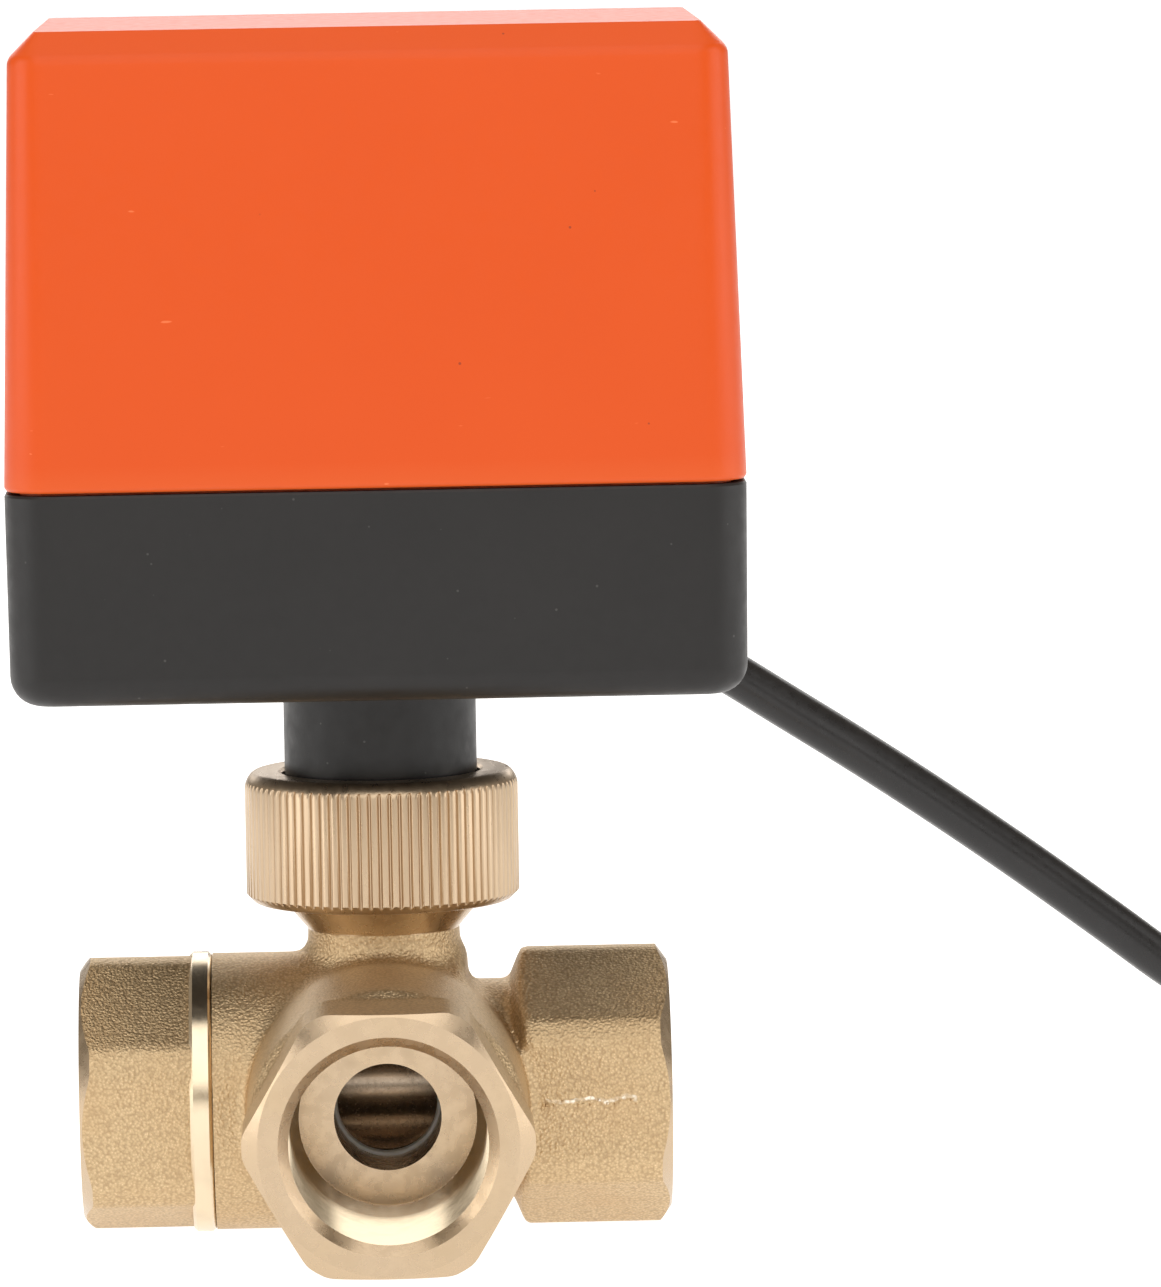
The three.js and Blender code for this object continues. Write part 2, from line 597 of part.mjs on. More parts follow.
function plate(z, centreHoleR) {
  const outline = [[30, 16], [26.4, 16], [26.4, 24.4], [-26.4, 24.4], [-26.4, 16], [-30, 16]];
  const half = outline.map(([x, y]) => point(x, y));
  const shape = new THREE.Shape([...half, ...half.map(({ x, y }) => point(-x, -y))]);
  const hole = (x, y, radius) =>
    shape.holes.push(new THREE.Path().absarc(x, y, radius, 0, 2 * Math.PI, true));
  hole(0, 0, centreHoleR);
  hole(axleA.x, axleA.y, AXLE_R + GAP);
  hole(axleB.x, axleB.y, AXLE_R + GAP);
  fourCorners.forEach(([sideX, sideY]) =>
    hole(sideX * PILLAR_X, sideY * PILLAR_Y, PILLAR_HOLE_R));
  return { shape, hole, solid: () => prism(shape, z, z + PLATE_THICK, 4) };
}

function gearPack() {
  const group = new THREE.Group();
  const lower = plate(LOWER_PLATE_Z, SHAFT_R + 0.6);
  SWITCH_SCREW_YS.forEach((y) => lower.hole(SWITCH_SCREW_X, y, SWITCH_HOLE_R));
  const upper = plate(UPPER_PLATE_Z, 4.2);
  [-1, 1].forEach((side) => upper.hole(side * MOTOR_EAR_X, 0, EAR_HOLE_R));
  group.add(mesh('gear_plate_lower', 'steel', lower.solid()));
  group.add(mesh('gear_plate_upper', 'steel', upper.solid()));
  const bottom = LOWER_PLATE_Z + PLATE_THICK + GAP;
  const top = UPPER_PLATE_Z - GAP;
  fourCorners.forEach(([sideX, sideY], i) => {
    const pillar = mesh(`plate_pillar_${i + 1}`, 'steel', turned([
      [0, PILLAR_Z[0]], [1.2, PILLAR_Z[0]], [1.2, bottom], [2.2, bottom],
      [2.2, top], [1.2, top], [1.2, PILLAR_Z[1]], [0, PILLAR_Z[1]],
    ], SMALL));
    pillar.position.set(sideX * PILLAR_X, sideY * PILLAR_Y, 0);
    group.add(pillar);
  });
  Object.entries({ axle_a: axleA, axle_b: axleB }).forEach(([name, { x, y }]) => {
    const axle = mesh(name, 'steel',
      rod(AXLE_R, LOWER_PLATE_Z + 0.1, UPPER_PLATE_Z + PLATE_THICK, SMALL));
    axle.position.set(x, y, 0);
    group.add(axle);
  });
  group.add(compoundGear('gear_3', axleA, gear3Turn));
  group.add(compoundGear('gear_2', axleB, gear2Turn));
  group.add(compoundGear('gear_1', axleA, gear1Turn));
  return group;
}

// ---------------------------------------------------------------- output shaft and cam

function outputShaft() {
  const round = turned([
    [0, 27], [6.6, 27], [6.6, 38.6], [SHAFT_R, 38.6], [SHAFT_R, SHAFT_TOP], [0, SHAFT_TOP],
  ], 18);
  const half = STEM_SQUARE / 2 + GAP;
  const socket = block(-half, half, -half, half, 26.5, STEM_TOP + 0.5);
  return mesh('output_shaft', 'steel', cut(round, socket));
}

// Where the lever's tip stands for a share of its travel: the cam follows it.
function leverTip(share) {
  const angle = LEVER_FREE + (LEVER_PRESSED - LEVER_FREE) * share;
  return point(LEVER_LENGTH, -LEVER_TIP_OFFSET).rotateAround(point(0, 0), angle).add(LEVER_PIVOT);
}

// A lobe whose radius keeps the tip's distance over the whole quarter turn.
function camLobe(pressedAtStart, from, to) {
  const steps = 8;
  const margin = THREE.MathUtils.degToRad(9);
  const sector = Array.from({ length: steps + 1 }, (_, step) => {
    const turn = step / steps;
    const tip = leverTip(pressedAtStart ? 1 - turn : turn);
    return { angle: tip.angle() - turn * OUTPUT_TURN, radius: tip.length() - LEVER_TIP_R - CAM_GAP };
  }).reverse();
  const first = sector[0];
  const last = sector.at(-1);
  const outline = [
    { angle: first.angle - margin, radius: first.radius }, ...sector,
    { angle: last.angle + margin, radius: last.radius },
  ].map(({ angle, radius }) => point(radius * Math.cos(angle), radius * Math.sin(angle)));
  return prism(new THREE.Shape([point(0, 0), ...outline]), from, to);
}

function cam() {
  const hub = rod(7.6, 48.4, 59.4, 18);
  const bore = rod(SHAFT_R + GAP, 48, 60, 18);
  return mesh('cam', 'gearPlastic',
    cut(join(hub, camLobe(true, 48.6, 51.6), camLobe(false, 55, 58)), bore));
}

function outputTrain() {
  const group = new THREE.Group();
  group.add(outputShaft(), cam());
  group.add(mesh('output_gear', 'steel', gear(WHEEL_TEETH, SHAFT_R + GAP, ...OUTPUT_GEAR_Z)));
  return group;
}

// ---------------------------------------------------------------- limit switches

function limitSwitch(name, z, pressed) {
  const group = new THREE.Group();
  const top = z + SWITCH_HEIGHT;
  const middle = z + SWITCH_HEIGHT / 2;
  const box = block(SWITCH_FACE_X - 10.2, SWITCH_FACE_X, -10, 10, z, top);
  const tabs = [-8, 0, 8].map((y) => block(-29, -24, y - 1.6, y + 1.6, middle - 0.3, middle + 0.3));
  const holes = SWITCH_SCREW_YS.map((y) =>
    rod(SWITCH_HOLE_R, z - CUT, top + CUT, SMALL).translate(SWITCH_SCREW_X, y, 0));
  const well = along.x(rod(1.2, SWITCH_FACE_X - 3, SWITCH_FACE_X + CUT, SMALL))
    .translate(0, PLUNGER_Y, middle);
  group.add(mesh(`switch_body_${name}`, 'blackPlastic', cut(join(box, ...tabs), ...holes, well)));

  const angle = pressed ? LEVER_PRESSED : LEVER_FREE;
  const half = LEVER_WIDTH / 2;
  const leaf = block(0, LEVER_LENGTH, -0.25, 0.25, -half, half);
  const tip = rod(LEVER_TIP_R, -half, half, 10).translate(LEVER_LENGTH, -LEVER_TIP_OFFSET, 0);
  const lever = mesh(`switch_lever_${name}`, 'steel', join(leaf, tip, rod(0.7, -half, half, 8)));
  lever.position.set(LEVER_PIVOT.x, LEVER_PIVOT.y, middle);
  lever.rotation.z = angle;
  group.add(lever);

  const leafX = LEVER_PIVOT.x + (PLUNGER_Y - LEVER_PIVOT.y) / Math.tan(angle);
  const plunger = mesh(`switch_plunger_${name}`, 'rubber', along.x(rod(0.9, -3.6, 0, 8)));
  plunger.position.set(leafX - 0.4, PLUNGER_Y, middle);
  group.add(plunger);
  return group;
}

function switches() {
  const group = new THREE.Group();
  group.add(limitSwitch('closed', LOWER_SWITCH_Z, true));
  group.add(limitSwitch('open', UPPER_SWITCH_Z, false));
  SWITCH_SCREW_YS.forEach((y, i) => {
    const made = mesh(`switch_screw_${i + 1}`, 'steel',
      rod(0.9, LOWER_SWITCH_Z + 0.1, LOWER_PLATE_Z + PLATE_THICK, SMALL));
    made.position.set(SWITCH_SCREW_X, y, 0);
    group.add(made);
  });
  return group;
}

// ---------------------------------------------------------------- motor and board

function motor() {
  const group = new THREE.Group();
  const ears = new THREE.Shape();
  const reach = MOTOR_EAR_X;
  ears.absarc(reach, 0, 2.8, -Math.PI / 2, Math.PI / 2, false);
  ears.absarc(-reach, 0, 2.8, Math.PI / 2, 3 * Math.PI / 2, false);
  const flange = join(rod(MOTOR_R, ...MOTOR_FLANGE_Z, ROUND), prism(ears, ...MOTOR_FLANGE_Z, 3));
  const drill = (radius) =>
    rod(radius, MOTOR_FLANGE_Z[0] - CUT, MOTOR_FLANGE_Z[1] + CUT, SMALL);
  const holes = [-reach, reach].map((x) => drill(EAR_HOLE_R).translate(x, 0, 0));
  const studHoles = atCorners(PILLAR_X, PILLAR_Y, () => drill(PILLAR_HOLE_R));
  group.add(mesh('motor_end_plate', 'steel',
    cut(flange, drill(AXLE_R + GAP), ...holes, ...studHoles)));
  group.add(mesh('motor_can', 'steel', turned([
    [0, MOTOR_TOP - 0.8], [MOTOR_R - 0.8, MOTOR_TOP - 0.8], [MOTOR_R - 0.8, MOTOR_Z],
    [MOTOR_R, MOTOR_Z], [MOTOR_R, MOTOR_TOP - 1], [MOTOR_R - 1, MOTOR_TOP], [0, MOTOR_TOP],
  ], ROUND)));
  group.add(mesh('stator_coil', 'copperWire', turned([
    [12, 82.5], [21.6, 82.5], [21.6, 84], [19, 84], [19, 100], [21.6, 100], [21.6, 101.5],
    [12, 101.5],
  ], BORED, true)));
  group.add(mesh('rotor_magnet', 'magnet', ring(AXLE_R + GAP, 11, 85, 99, BORED)));
  const shaft = mesh('rotor_shaft', 'steel', join(
    gear(PINION_TEETH, 0, ...MOTOR_PINION_Z), rod(1, MOTOR_PINION_Z[1] - 0.4, 102.5, 8)));
  shaft.rotation.z = rotorTurn;
  group.add(shaft);
  [-1, 1].forEach((side, i) => {
    const made = screw(`motor_screw_${i + 1}`, 2.2, 1.5, 1.2, 5.2);
    made.rotation.x = Math.PI;
    made.position.set(side * reach, 0, 81.6);
    group.add(made);
  });
  return group;
}

function controlBoard() {
  const group = new THREE.Group();
  const top = BOARD_Z + BOARD_THICK;
  const holes = BOARD_POSTS.map(([x, y]) =>
    rod(1.3, BOARD_Z - CUT, top + CUT, SMALL).translate(x, y, 0));
  group.add(mesh('circuit_board', 'boardGreen',
    cut(block(13.8, 33.5, -16, 16, BOARD_Z, top), ...holes)));
  group.add(mesh('capacitor', 'capacitorYellow', block(19, 28, -9, 4, top + GAP, 59)));
  const terminal = block(18, 29, 6, 15.6, top + GAP, 59);
  const entries = [20.1, 23.5, 26.9].map((x) =>
    block(x - 1.2, x + 1.2, 12, 16, top + 1.5, top + 4.3));
  group.add(mesh('terminal_block', 'terminalGreen', cut(terminal, ...entries)));
  return group;
}

// ---------------------------------------------------------------- lead

// Moulded boot: a flange inside the wall, one outside, and a taper along the lead.
const cableBoot = () => {
  const wall = BOX_D / 2;
  const made = mesh('cable_boot', 'leadBlack', along.rear(turned([
    [LEAD_R + GAP, wall - WALL - 1.4], [4.9, wall - WALL - 1.4], [4.9, wall - WALL - GAP],
    [3.8, wall - WALL - GAP], [3.8, wall + GAP], [5.4, wall + GAP], [5.4, wall + 2],
    [4.6, wall + 2.6], [3.4, BOOT_END], [LEAD_R + GAP, BOOT_END],
  ], 12, true)));
  made.position.set(LEAD_EXIT.x, 0, LEAD_EXIT.z);
  return made;
};

const LEAD_FLOOR = -COLLAR_R + LEAD_R + TIE_THICK + 0.1;

// Inside the box, through the boot, round to the right and down to the surface beside the coil.
const LEAD_ROUTE = [
  [12, 21, 51.5], [12, 30, 51.5], [12, 39, 51.5], [12, 48, 51.5], [13.2, 56, 50.5],
  [16.6, 63.4, 48.2], [22.2, 69.6, 44.9], [29.4, 74, 40.8], [37.4, 76.2, 36.3], [46, 76.8, 30.8],
  [55, 76.8, 25], [64, 76.8, 18.9], [73, 76.8, 12.5], [82, 76.8, 5.8], [90, 76.8, -0.2],
  [97, 77, -4.4], [103, 77.3, -7.2],
].map(([x, y, z]) => new THREE.Vector3(x, y, z));

const roundSection = (radius, sides) => new THREE.Shape(
  Array.from({ length: sides }, (_, i) => {
    const angle = 2 * Math.PI * i / sides;
    return point(radius * Math.cos(angle), radius * Math.sin(angle));
  }));

const tube = (route, radius, sides, steps) =>
  new THREE.ExtrudeGeometry(roundSection(radius, sides), {
    steps, extrudePath: new THREE.CatmullRomCurve3(route), bevelEnabled: false,
  });

function lead() {
  const group = new THREE.Group();
  group.add(cableBoot(), mesh('cable', 'leadBlack', tube(LEAD_ROUTE, LEAD_R, 10, 20)));
  const low = LEAD_FLOOR - LEAD_R;
  const coil = mesh('cable_coil', 'leadBlack',
    ring(COIL_INNER_R, COIL_OUTER_R, low, LEAD_FLOOR + LEAD_R, 32));
  coil.position.set(COIL_CENTRE.x, COIL_CENTRE.y, 0);
  group.add(coil);

  const tieGap = 0.2;
  const inner = [COIL_INNER_R - tieGap, COIL_OUTER_R + tieGap + 0.3, low - tieGap + 0.1,
    low + 2 * LEAD_R + tieGap];
  const outer = [inner[0] - TIE_THICK, inner[1] + TIE_THICK, inner[2] - TIE_THICK,
    inner[3] + TIE_THICK];
  const tie = mesh('coil_tie', 'leadBlack', cut(
    block(-1.8, 1.8, outer[0], outer[1], outer[2], outer[3]),
    block(-3, 3, inner[0], inner[1], inner[2], inner[3])));
  tie.position.set(COIL_CENTRE.x, COIL_CENTRE.y, 0);
  tie.rotation.z = Math.PI;
  group.add(tie);

  const cores = { core_1: 'coreBlue', core_2: 'coreBrown', core_3: 'coreYellow' };
  Object.entries(cores).forEach(([name, finishName], i) => {
    const radius = COIL_INNER_R - 1.2 - 2.3 * i;
    const route = Array.from({ length: 6 }, (_, step) => {
      const angle = Math.PI * (0.38 - 0.12 * step);
      return new THREE.Vector3(COIL_CENTRE.x + radius * Math.cos(angle),
        COIL_CENTRE.y + radius * Math.sin(angle), LEAD_FLOOR - LEAD_R + 0.9);
    });
    group.add(mesh(name, finishName, tube(route, 0.8, 8, 6)));
  });
  return group;
}

// ---------------------------------------------------------------- assembly

const bushing = mesh('shaft_bushing', 'bronze', turned([
  [SHAFT_R + GAP, 39], [NECK_BORE_R - GAP, 39], [NECK_BORE_R - GAP, FLOOR_Z + GAP],
  [8.5, FLOOR_Z + GAP], [8.5, 48.1], [SHAFT_R + GAP, 48.1],
], 18, true));

const assembly = new THREE.Group();
assembly.position.set(0, STEM_Y, COLLAR_R);
assembly.add(valve(), housing(), bushing, outputTrain(), gearPack(), switches(), motor());
assembly.add(controlBoard(), lead());

const root = new THREE.Group();
root.add(assembly);

export default root;
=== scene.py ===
"""Motorized three-way ball valve: the detailed pieces, their materials, the light and the camera.

Lengths are in millimetres from the ball's centre, which every piece is built around: +X to the
right port, +Z up the stem, -Y out of the front port. world() turns them into the frame's metres.
"""
import json
import math

import bpy
import bmesh
import numpy as np
from mathutils import Matrix, Vector

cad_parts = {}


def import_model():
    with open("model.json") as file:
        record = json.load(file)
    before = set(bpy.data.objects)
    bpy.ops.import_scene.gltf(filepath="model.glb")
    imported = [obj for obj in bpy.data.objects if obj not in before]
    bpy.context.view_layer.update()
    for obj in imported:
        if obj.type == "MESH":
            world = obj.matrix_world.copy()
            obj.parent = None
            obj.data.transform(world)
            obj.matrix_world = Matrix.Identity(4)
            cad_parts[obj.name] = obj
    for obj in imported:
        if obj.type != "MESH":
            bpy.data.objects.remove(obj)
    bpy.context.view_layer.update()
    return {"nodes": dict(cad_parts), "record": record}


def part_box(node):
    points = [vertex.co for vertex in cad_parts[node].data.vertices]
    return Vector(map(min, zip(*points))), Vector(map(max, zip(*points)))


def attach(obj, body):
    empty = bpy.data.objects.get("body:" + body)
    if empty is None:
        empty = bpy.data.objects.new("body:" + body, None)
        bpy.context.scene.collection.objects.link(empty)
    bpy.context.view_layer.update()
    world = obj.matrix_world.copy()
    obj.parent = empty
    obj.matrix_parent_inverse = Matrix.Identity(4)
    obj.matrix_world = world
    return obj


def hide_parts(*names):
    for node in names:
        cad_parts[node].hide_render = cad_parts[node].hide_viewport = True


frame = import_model()

MM = 0.001


def middle(node):
    """The middle of a CAD node's box."""
    low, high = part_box(node)
    return (low + high) / 2


CENTRE = Vector((middle("stem").x, middle("seat_right").y, middle("seat_right").z))


def world(point):
    """A point in millimetres from the ball's centre, in the frame."""
    return CENTRE + MM * Vector(point)


def span(node, axis):
    """Where a CAD node starts and ends along an axis, in millimetres from the ball's centre."""
    low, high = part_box(node)
    return [(corner[axis] - CENTRE[axis]) / MM for corner in (low, high)]


def new_object(name, data):
    made = bpy.data.objects.new(name, data)
    bpy.context.scene.collection.objects.link(made)
    return made


# ---------------- sizes taken from the frame

LEFT_END = span("end_cap", 0)[0]
COLLAR_R = span("end_cap", 2)[1]
RIGHT_END = span("valve_body", 0)[1]
BARREL_START = span("valve_body", 0)[0]
FRONT_END = -span("valve_body", 1)[0]
SPIGOT_TOP = span("valve_body", 2)[1]
NUT_BOTTOM, NUT_TOP = span("union_nut", 2)
NUT_R = span("union_nut", 0)[1]
NECK_END, JOINT_Z = span("base_housing", 2)
BOX_X = span("base_housing", 0)[1]
BOX_Y = span("base_housing", 1)[1]
COVER_TOP = span("cover", 2)[1]
BOOT_START, BOOT_END = span("cable_boot", 1)
LEAD_X, LEAD_Z = ((middle("cable_boot") - CENTRE) / MM).xz
COIL = (middle("cable_coil") - CENTRE) / MM
WALL = 2.6  # of the housing and of the cover
BOX_FACES = [(0, 1, 3, 2), (4, 6, 7, 5), (0, 4, 5, 1), (2, 3, 7, 6), (0, 2, 6, 4), (1, 5, 7, 3)]
QUARTERS = [(1, 1), (-1, 1), (-1, -1), (1, -1)]  # the sides that four corners are on, in turn

# ---------------- camera

CAMERA_AT = (-1.4, -896.8, 137.3)
CAMERA_YAW = math.radians(1.43)  # to the right of straight ahead
CAMERA_PITCH = math.radians(5.8)  # below the horizon
CAMERA_ROLL = math.radians(-0.96)
CAMERA_LENS = 242.7
SENSOR_WIDTH = 36.0
SIGHT_M = 100.0


def make_camera():
    data = bpy.data.cameras.new("camera")
    data.lens = CAMERA_LENS
    data.sensor_width = SENSOR_WIDTH
    data.clip_end = SIGHT_M
    camera = new_object("camera", data)
    turn = Matrix.Rotation(-CAMERA_YAW, 4, "Z")
    turn = turn @ Matrix.Rotation(math.pi / 2 - CAMERA_PITCH, 4, "X")
    roll = Matrix.Rotation(CAMERA_ROLL, 4, "Z")
    camera.matrix_world = Matrix.Translation(world(CAMERA_AT)) @ turn @ roll
    bpy.context.scene.camera = camera


make_camera()

# ---------------- materials


class Look:
    """A procedural material. Its textures are measured in millimetres on the piece."""

    def __init__(self, name, colour, roughness, metallic=0.0, **sockets):
        self.name = name
        self.material = bpy.data.materials.new(name)
        self.material.use_nodes = True
        self.tree = self.material.node_tree
        self.shader = self.tree.nodes["Principled BSDF"]
        self.colour = colour
        self.shader.inputs["Base Color"].default_value = (*colour, 1)
        self.shader.inputs["Roughness"].default_value = roughness
        self.shader.inputs["Metallic"].default_value = metallic
        for socket, value in sockets.items():
            self.shader.inputs[socket.replace("_", " ")].default_value = value
        self.height = None
        self.millimetres = self.add("ShaderNodeVectorMath", operation="SCALE")
        self.millimetres.inputs["Scale"].default_value = 1 / MM
        self.join(self.add("ShaderNodeTexCoord").outputs["Object"], self.millimetres.inputs[0])

    def add(self, kind, **settings):
        """A new node, with its settings."""
        node = self.tree.nodes.new(kind)
        for name, value in settings.items():
            setattr(node, name, value)
        return node

    def join(self, source, target):
        self.tree.links.new(source, target)

    def place(self, stretch):
        """Where a point is on the piece, in millimetres times the stretch."""
        mapping = self.add("ShaderNodeMapping")
        mapping.inputs["Scale"].default_value = stretch
        self.join(self.millimetres.outputs[0], mapping.inputs["Vector"])
        return mapping.outputs["Vector"]

    def noise(self, size, detail=3.0, stretch=(1, 1, 1)):
        """A cloudy value from 0 to 1; a small stretch draws its features out."""
        node = self.add("ShaderNodeTexNoise")
        node.inputs["Scale"].default_value = 1 / size
        node.inputs["Detail"].default_value = detail
        self.join(self.place(stretch), node.inputs["Vector"])
        return node.outputs["Fac"]

    def pebbles(self, size, smooth=0.6):
        """The distance to the nearest of many scattered grains."""
        node = self.add("ShaderNodeTexVoronoi", feature="SMOOTH_F1")
        node.inputs["Scale"].default_value = 1 / size
        node.inputs["Smoothness"].default_value = smooth
        self.join(self.place((1, 1, 1)), node.inputs["Vector"])
        return node.outputs["Distance"]

    def remap(self, value, start, end, low, high):
        """Low up to where the value is start, high from where it is end, and even between."""
        node = self.add("ShaderNodeMapRange")
        for socket, number in zip(node.inputs[1:5], (start, end, low, high)):
            socket.default_value = number
        self.join(value, node.inputs["Value"])
        return node.outputs["Result"]

    def calculate(self, operation, first, second):
        """The result for two values, each a socket or a float."""
        node = self.add("ShaderNodeMath", operation=operation)
        for value, socket in zip((first, second), node.inputs):
            if isinstance(value, float):
                socket.default_value = value
            else:
                self.join(value, socket)
        return node.outputs["Value"]

    def coordinate(self, axis):
        """How far along an axis a point is, in millimetres from the ball's centre."""
        split = self.add("ShaderNodeSeparateXYZ")
        self.join(self.millimetres.outputs[0], split.inputs[0])
        return self.calculate("SUBTRACT", split.outputs[axis], CENTRE["XYZ".index(axis)] / MM)

    def close_to(self, value, target, reach, edge):
        """1 where a value is within reach of its target, fading to 0 over the edge."""
        distance = self.calculate("SUBTRACT", value, target)
        either_way = self.calculate("MAXIMUM", distance, self.calculate("MULTIPLY", distance, -1.0))
        return self.remap(either_way, reach, reach + edge, 1, 0)

    def tint(self, amount, colour):
        """Blends the colour so far towards another one where amount is 1."""
        node = self.add("ShaderNodeMix", data_type="RGBA")
        socket = self.shader.inputs["Base Color"]
        if socket.is_linked:
            self.join(socket.links[0].from_socket, node.inputs["A"])
        else:
            node.inputs["A"].default_value = (*self.colour, 1)
        node.inputs["B"].default_value = (*colour, 1)
        self.join(amount, node.inputs["Factor"])
        self.join(node.outputs["Result"], socket)
        return self

    def roughen(self, value, low, high):
        """Lets the roughness follow a value."""
        self.join(self.remap(value, 0.25, 0.75, low, high), self.shader.inputs["Roughness"])
        return self

    def emboss(self, value, depth):
        """Raises the surface by up to depth, in millimetres, where value is 1."""
        bump = self.add("ShaderNodeBump")
        bump.inputs["Distance"].default_value = depth * MM
        bump.inputs["Strength"].default_value = 1.0
        self.join(value, bump.inputs["Height"])
        if self.height:
            self.join(self.height.outputs["Normal"], bump.inputs["Normal"])
        self.join(bump.outputs["Normal"], self.shader.inputs["Normal"])
        self.height = bump
        return self


def darker(colour, factor):
    return tuple(channel * factor for channel in colour)


SCAR_HIGHLIGHT_X = 21.0  # the middle of the painted highlight along the parting scar on the right hexagon


def cast_brass():
    look = Look("cast_brass", (0.65, 0.485, 0.285), 0.42, 1.0)
    grain = look.pebbles(0.3)
    fine = look.noise(0.16, 3)
    look.tint(look.remap(grain, 0.3, 0.7, 0.0, 0.85), (0.46, 0.325, 0.185))
    look.tint(look.remap(grain, 0.24, 0.06, 0.0, 0.8), (0.88, 0.69, 0.45))
    look.tint(look.remap(fine, 0.55, 0.75, 0.0, 0.6), (0.76, 0.59, 0.38))
    look.tint(look.remap(look.noise(7, 3), 0.45, 0.75, 0, 0.35), (0.57, 0.38, 0.2))
    # painted highlight: a near-white line along the parting scar's crest, broken in places; the
    # scar is real, its brightness is painted
    scar_highlight_z = look.remap(look.noise(2.2, 2), 0.3, 0.7, 0.0, 0.7)
    line = look.close_to(look.coordinate("Z"), scar_highlight_z, 0.1, 0.16)
    ends = look.close_to(look.coordinate("X"), SCAR_HIGHLIGHT_X, 4.3, 0.5)
    highlight_breaks = look.remap(look.noise(0.9, 2), 0.46, 0.54, 0.2, 1)
    scar = look.calculate("MULTIPLY", line, look.calculate("MULTIPLY", ends, highlight_breaks))
    look.tint(scar, (0.98, 0.92, 0.8))
    look.roughen(fine, 0.4, 0.56)
    look.emboss(look.remap(grain, 0, 1, 1, 0), 0.09)
    return look.emboss(fine, 0.06)


def turned_brass():
    look = Look("turned_brass", (0.56, 0.425, 0.285), 0.26, 1.0)
    look.tint(look.remap(look.noise(6, 2), 0.4, 0.9, 0, 0.4), (0.52, 0.38, 0.22))
    look.roughen(look.noise(1.6, 5), 0.2, 0.34)
    return look.emboss(look.noise(0.35, 2), 0.004)


def polished_brass():
    base = (0.8, 0.66, 0.47)
    look = Look("polished_brass", base, 0.14, 1.0)
    look.tint(look.remap(look.noise(4, 2), 0.5, 0.8, 0, 0.5), darker(base, 0.8))
    return look.roughen(look.noise(1.2, 3), 0.17, 0.27)


def nut_brass():
    look = Look("nut_brass", (0.565, 0.425, 0.285), 0.3, 1.0)
    look.tint(look.remap(look.noise(3, 4, (1, 1, 0.2)), 0.5, 0.8, 0, 0.4), (0.55, 0.4, 0.25))
    look.roughen(look.noise(0.8, 4, (1, 1, 0.1)), 0.24, 0.38)
    return look.emboss(look.noise(0.25, 3), 0.006)


def orange_cover():
    look = Look("orange_cover", (0.645, 0.071, 0.0015), 0.34, Specular_IOR_Level=0.32)
    look.tint(look.remap(look.noise(16, 3), 0.35, 0.75, 0, 0.3), (0.67, 0.078, 0.003))
    low = look.remap(look.coordinate("Z"), JOINT_Z, JOINT_Z + 3, 0.5, 0)
    look.tint(low, (0.68, 0.11, 0.02))
    scratch = look.remap(look.noise(1.1, 1, (0.4, 1, 1.4)), 0.79, 0.82, 0, 0.4)
    look.tint(scratch, (0.95, 0.3, 0.12))
    speck = look.remap(look.pebbles(5.5, 0), 0.03, 0.02, 0, 0.8)
    look.tint(speck, (0.25, 0.03, 0.01))
    look.roughen(look.noise(1.2, 5), 0.3, 0.42)
    look.emboss(look.noise(0.5, 3), 0.006)
    return look.emboss(look.noise(12, 1), 0.12)


def black_housing():
    look = Look("black_housing", (0.008, 0.0067, 0.0062), 0.42, Specular_IOR_Level=0.4)
    look.tint(look.remap(look.noise(14, 4), 0.4, 0.7, 0, 0.5), (0.012, 0.0102, 0.0095))
    dust = look.remap(look.pebbles(2.6, 0), 0.06, 0.035, 0, 0.5)
    look.tint(dust, (0.09, 0.085, 0.08))
    look.roughen(look.noise(1.5, 5), 0.36, 0.5)
    look.emboss(look.noise(0.4, 3), 0.008)
    return look.emboss(look.noise(14, 1), 0.15)


def lead_pvc():
    look = Look("lead_pvc", (0.008, 0.007, 0.007), 0.3, Specular_IOR_Level=0.5)
    look.tint(look.remap(look.noise(4, 4), 0.5, 0.8, 0, 0.5), (0.018, 0.016, 0.0155))
    look.roughen(look.noise(0.9, 4), 0.24, 0.36)
    return look.emboss(look.noise(0.7, 3), 0.012)


def ptfe():
    look = Look("ptfe", (0.78, 0.76, 0.7), 0.45, Subsurface_Weight=0.15)
    look.tint(look.remap(look.noise(2.5, 3), 0.4, 0.8, 0, 0.5), (0.66, 0.62, 0.54))
    look.roughen(look.noise(0.6, 3), 0.38, 0.52)
    return look.emboss(look.noise(0.5, 3), 0.01)


def bright_metal(name, colour, roughness, lay=(1, 1, 1), depth=0.004):
    look = Look(name, colour, roughness, 1.0)
    look.tint(look.remap(look.noise(3, 4), 0.45, 0.8, 0, 0.5), darker(colour, 0.75))
    look.roughen(look.noise(0.5, 4, lay), roughness * 0.8, roughness * 1.25)
    return look.emboss(look.noise(0.25, 3, lay), depth)


def moulding(name, colour, roughness, depth=0.01):
    look = Look(name, colour, roughness)
    look.tint(look.remap(look.noise(6, 4), 0.4, 0.8, 0, 0.5), darker(colour, 0.8))
    look.roughen(look.noise(0.8, 4), roughness * 0.85, roughness * 1.2)
    return look.emboss(look.noise(0.35, 3), depth)


def winding():
    look = Look("copper_winding", (0.62, 0.24, 0.09), 0.3, 0.9, Coat_Weight=0.6)
    wire = look.add("ShaderNodeTexWave", bands_direction="Z", wave_profile="SIN")
    wire.inputs["Scale"].default_value = 1.6
    look.join(look.place((1, 1, 1)), wire.inputs["Vector"])
    # painted shade: darker in the grooves between the wire's turns
    look.tint(look.remap(wire.outputs["Fac"], 0, 0.5, 0.7, 0), (0.2, 0.06, 0.02))
    look.roughen(look.noise(0.5, 3), 0.24, 0.4)
    return look.emboss(wire.outputs["Fac"], 0.12)


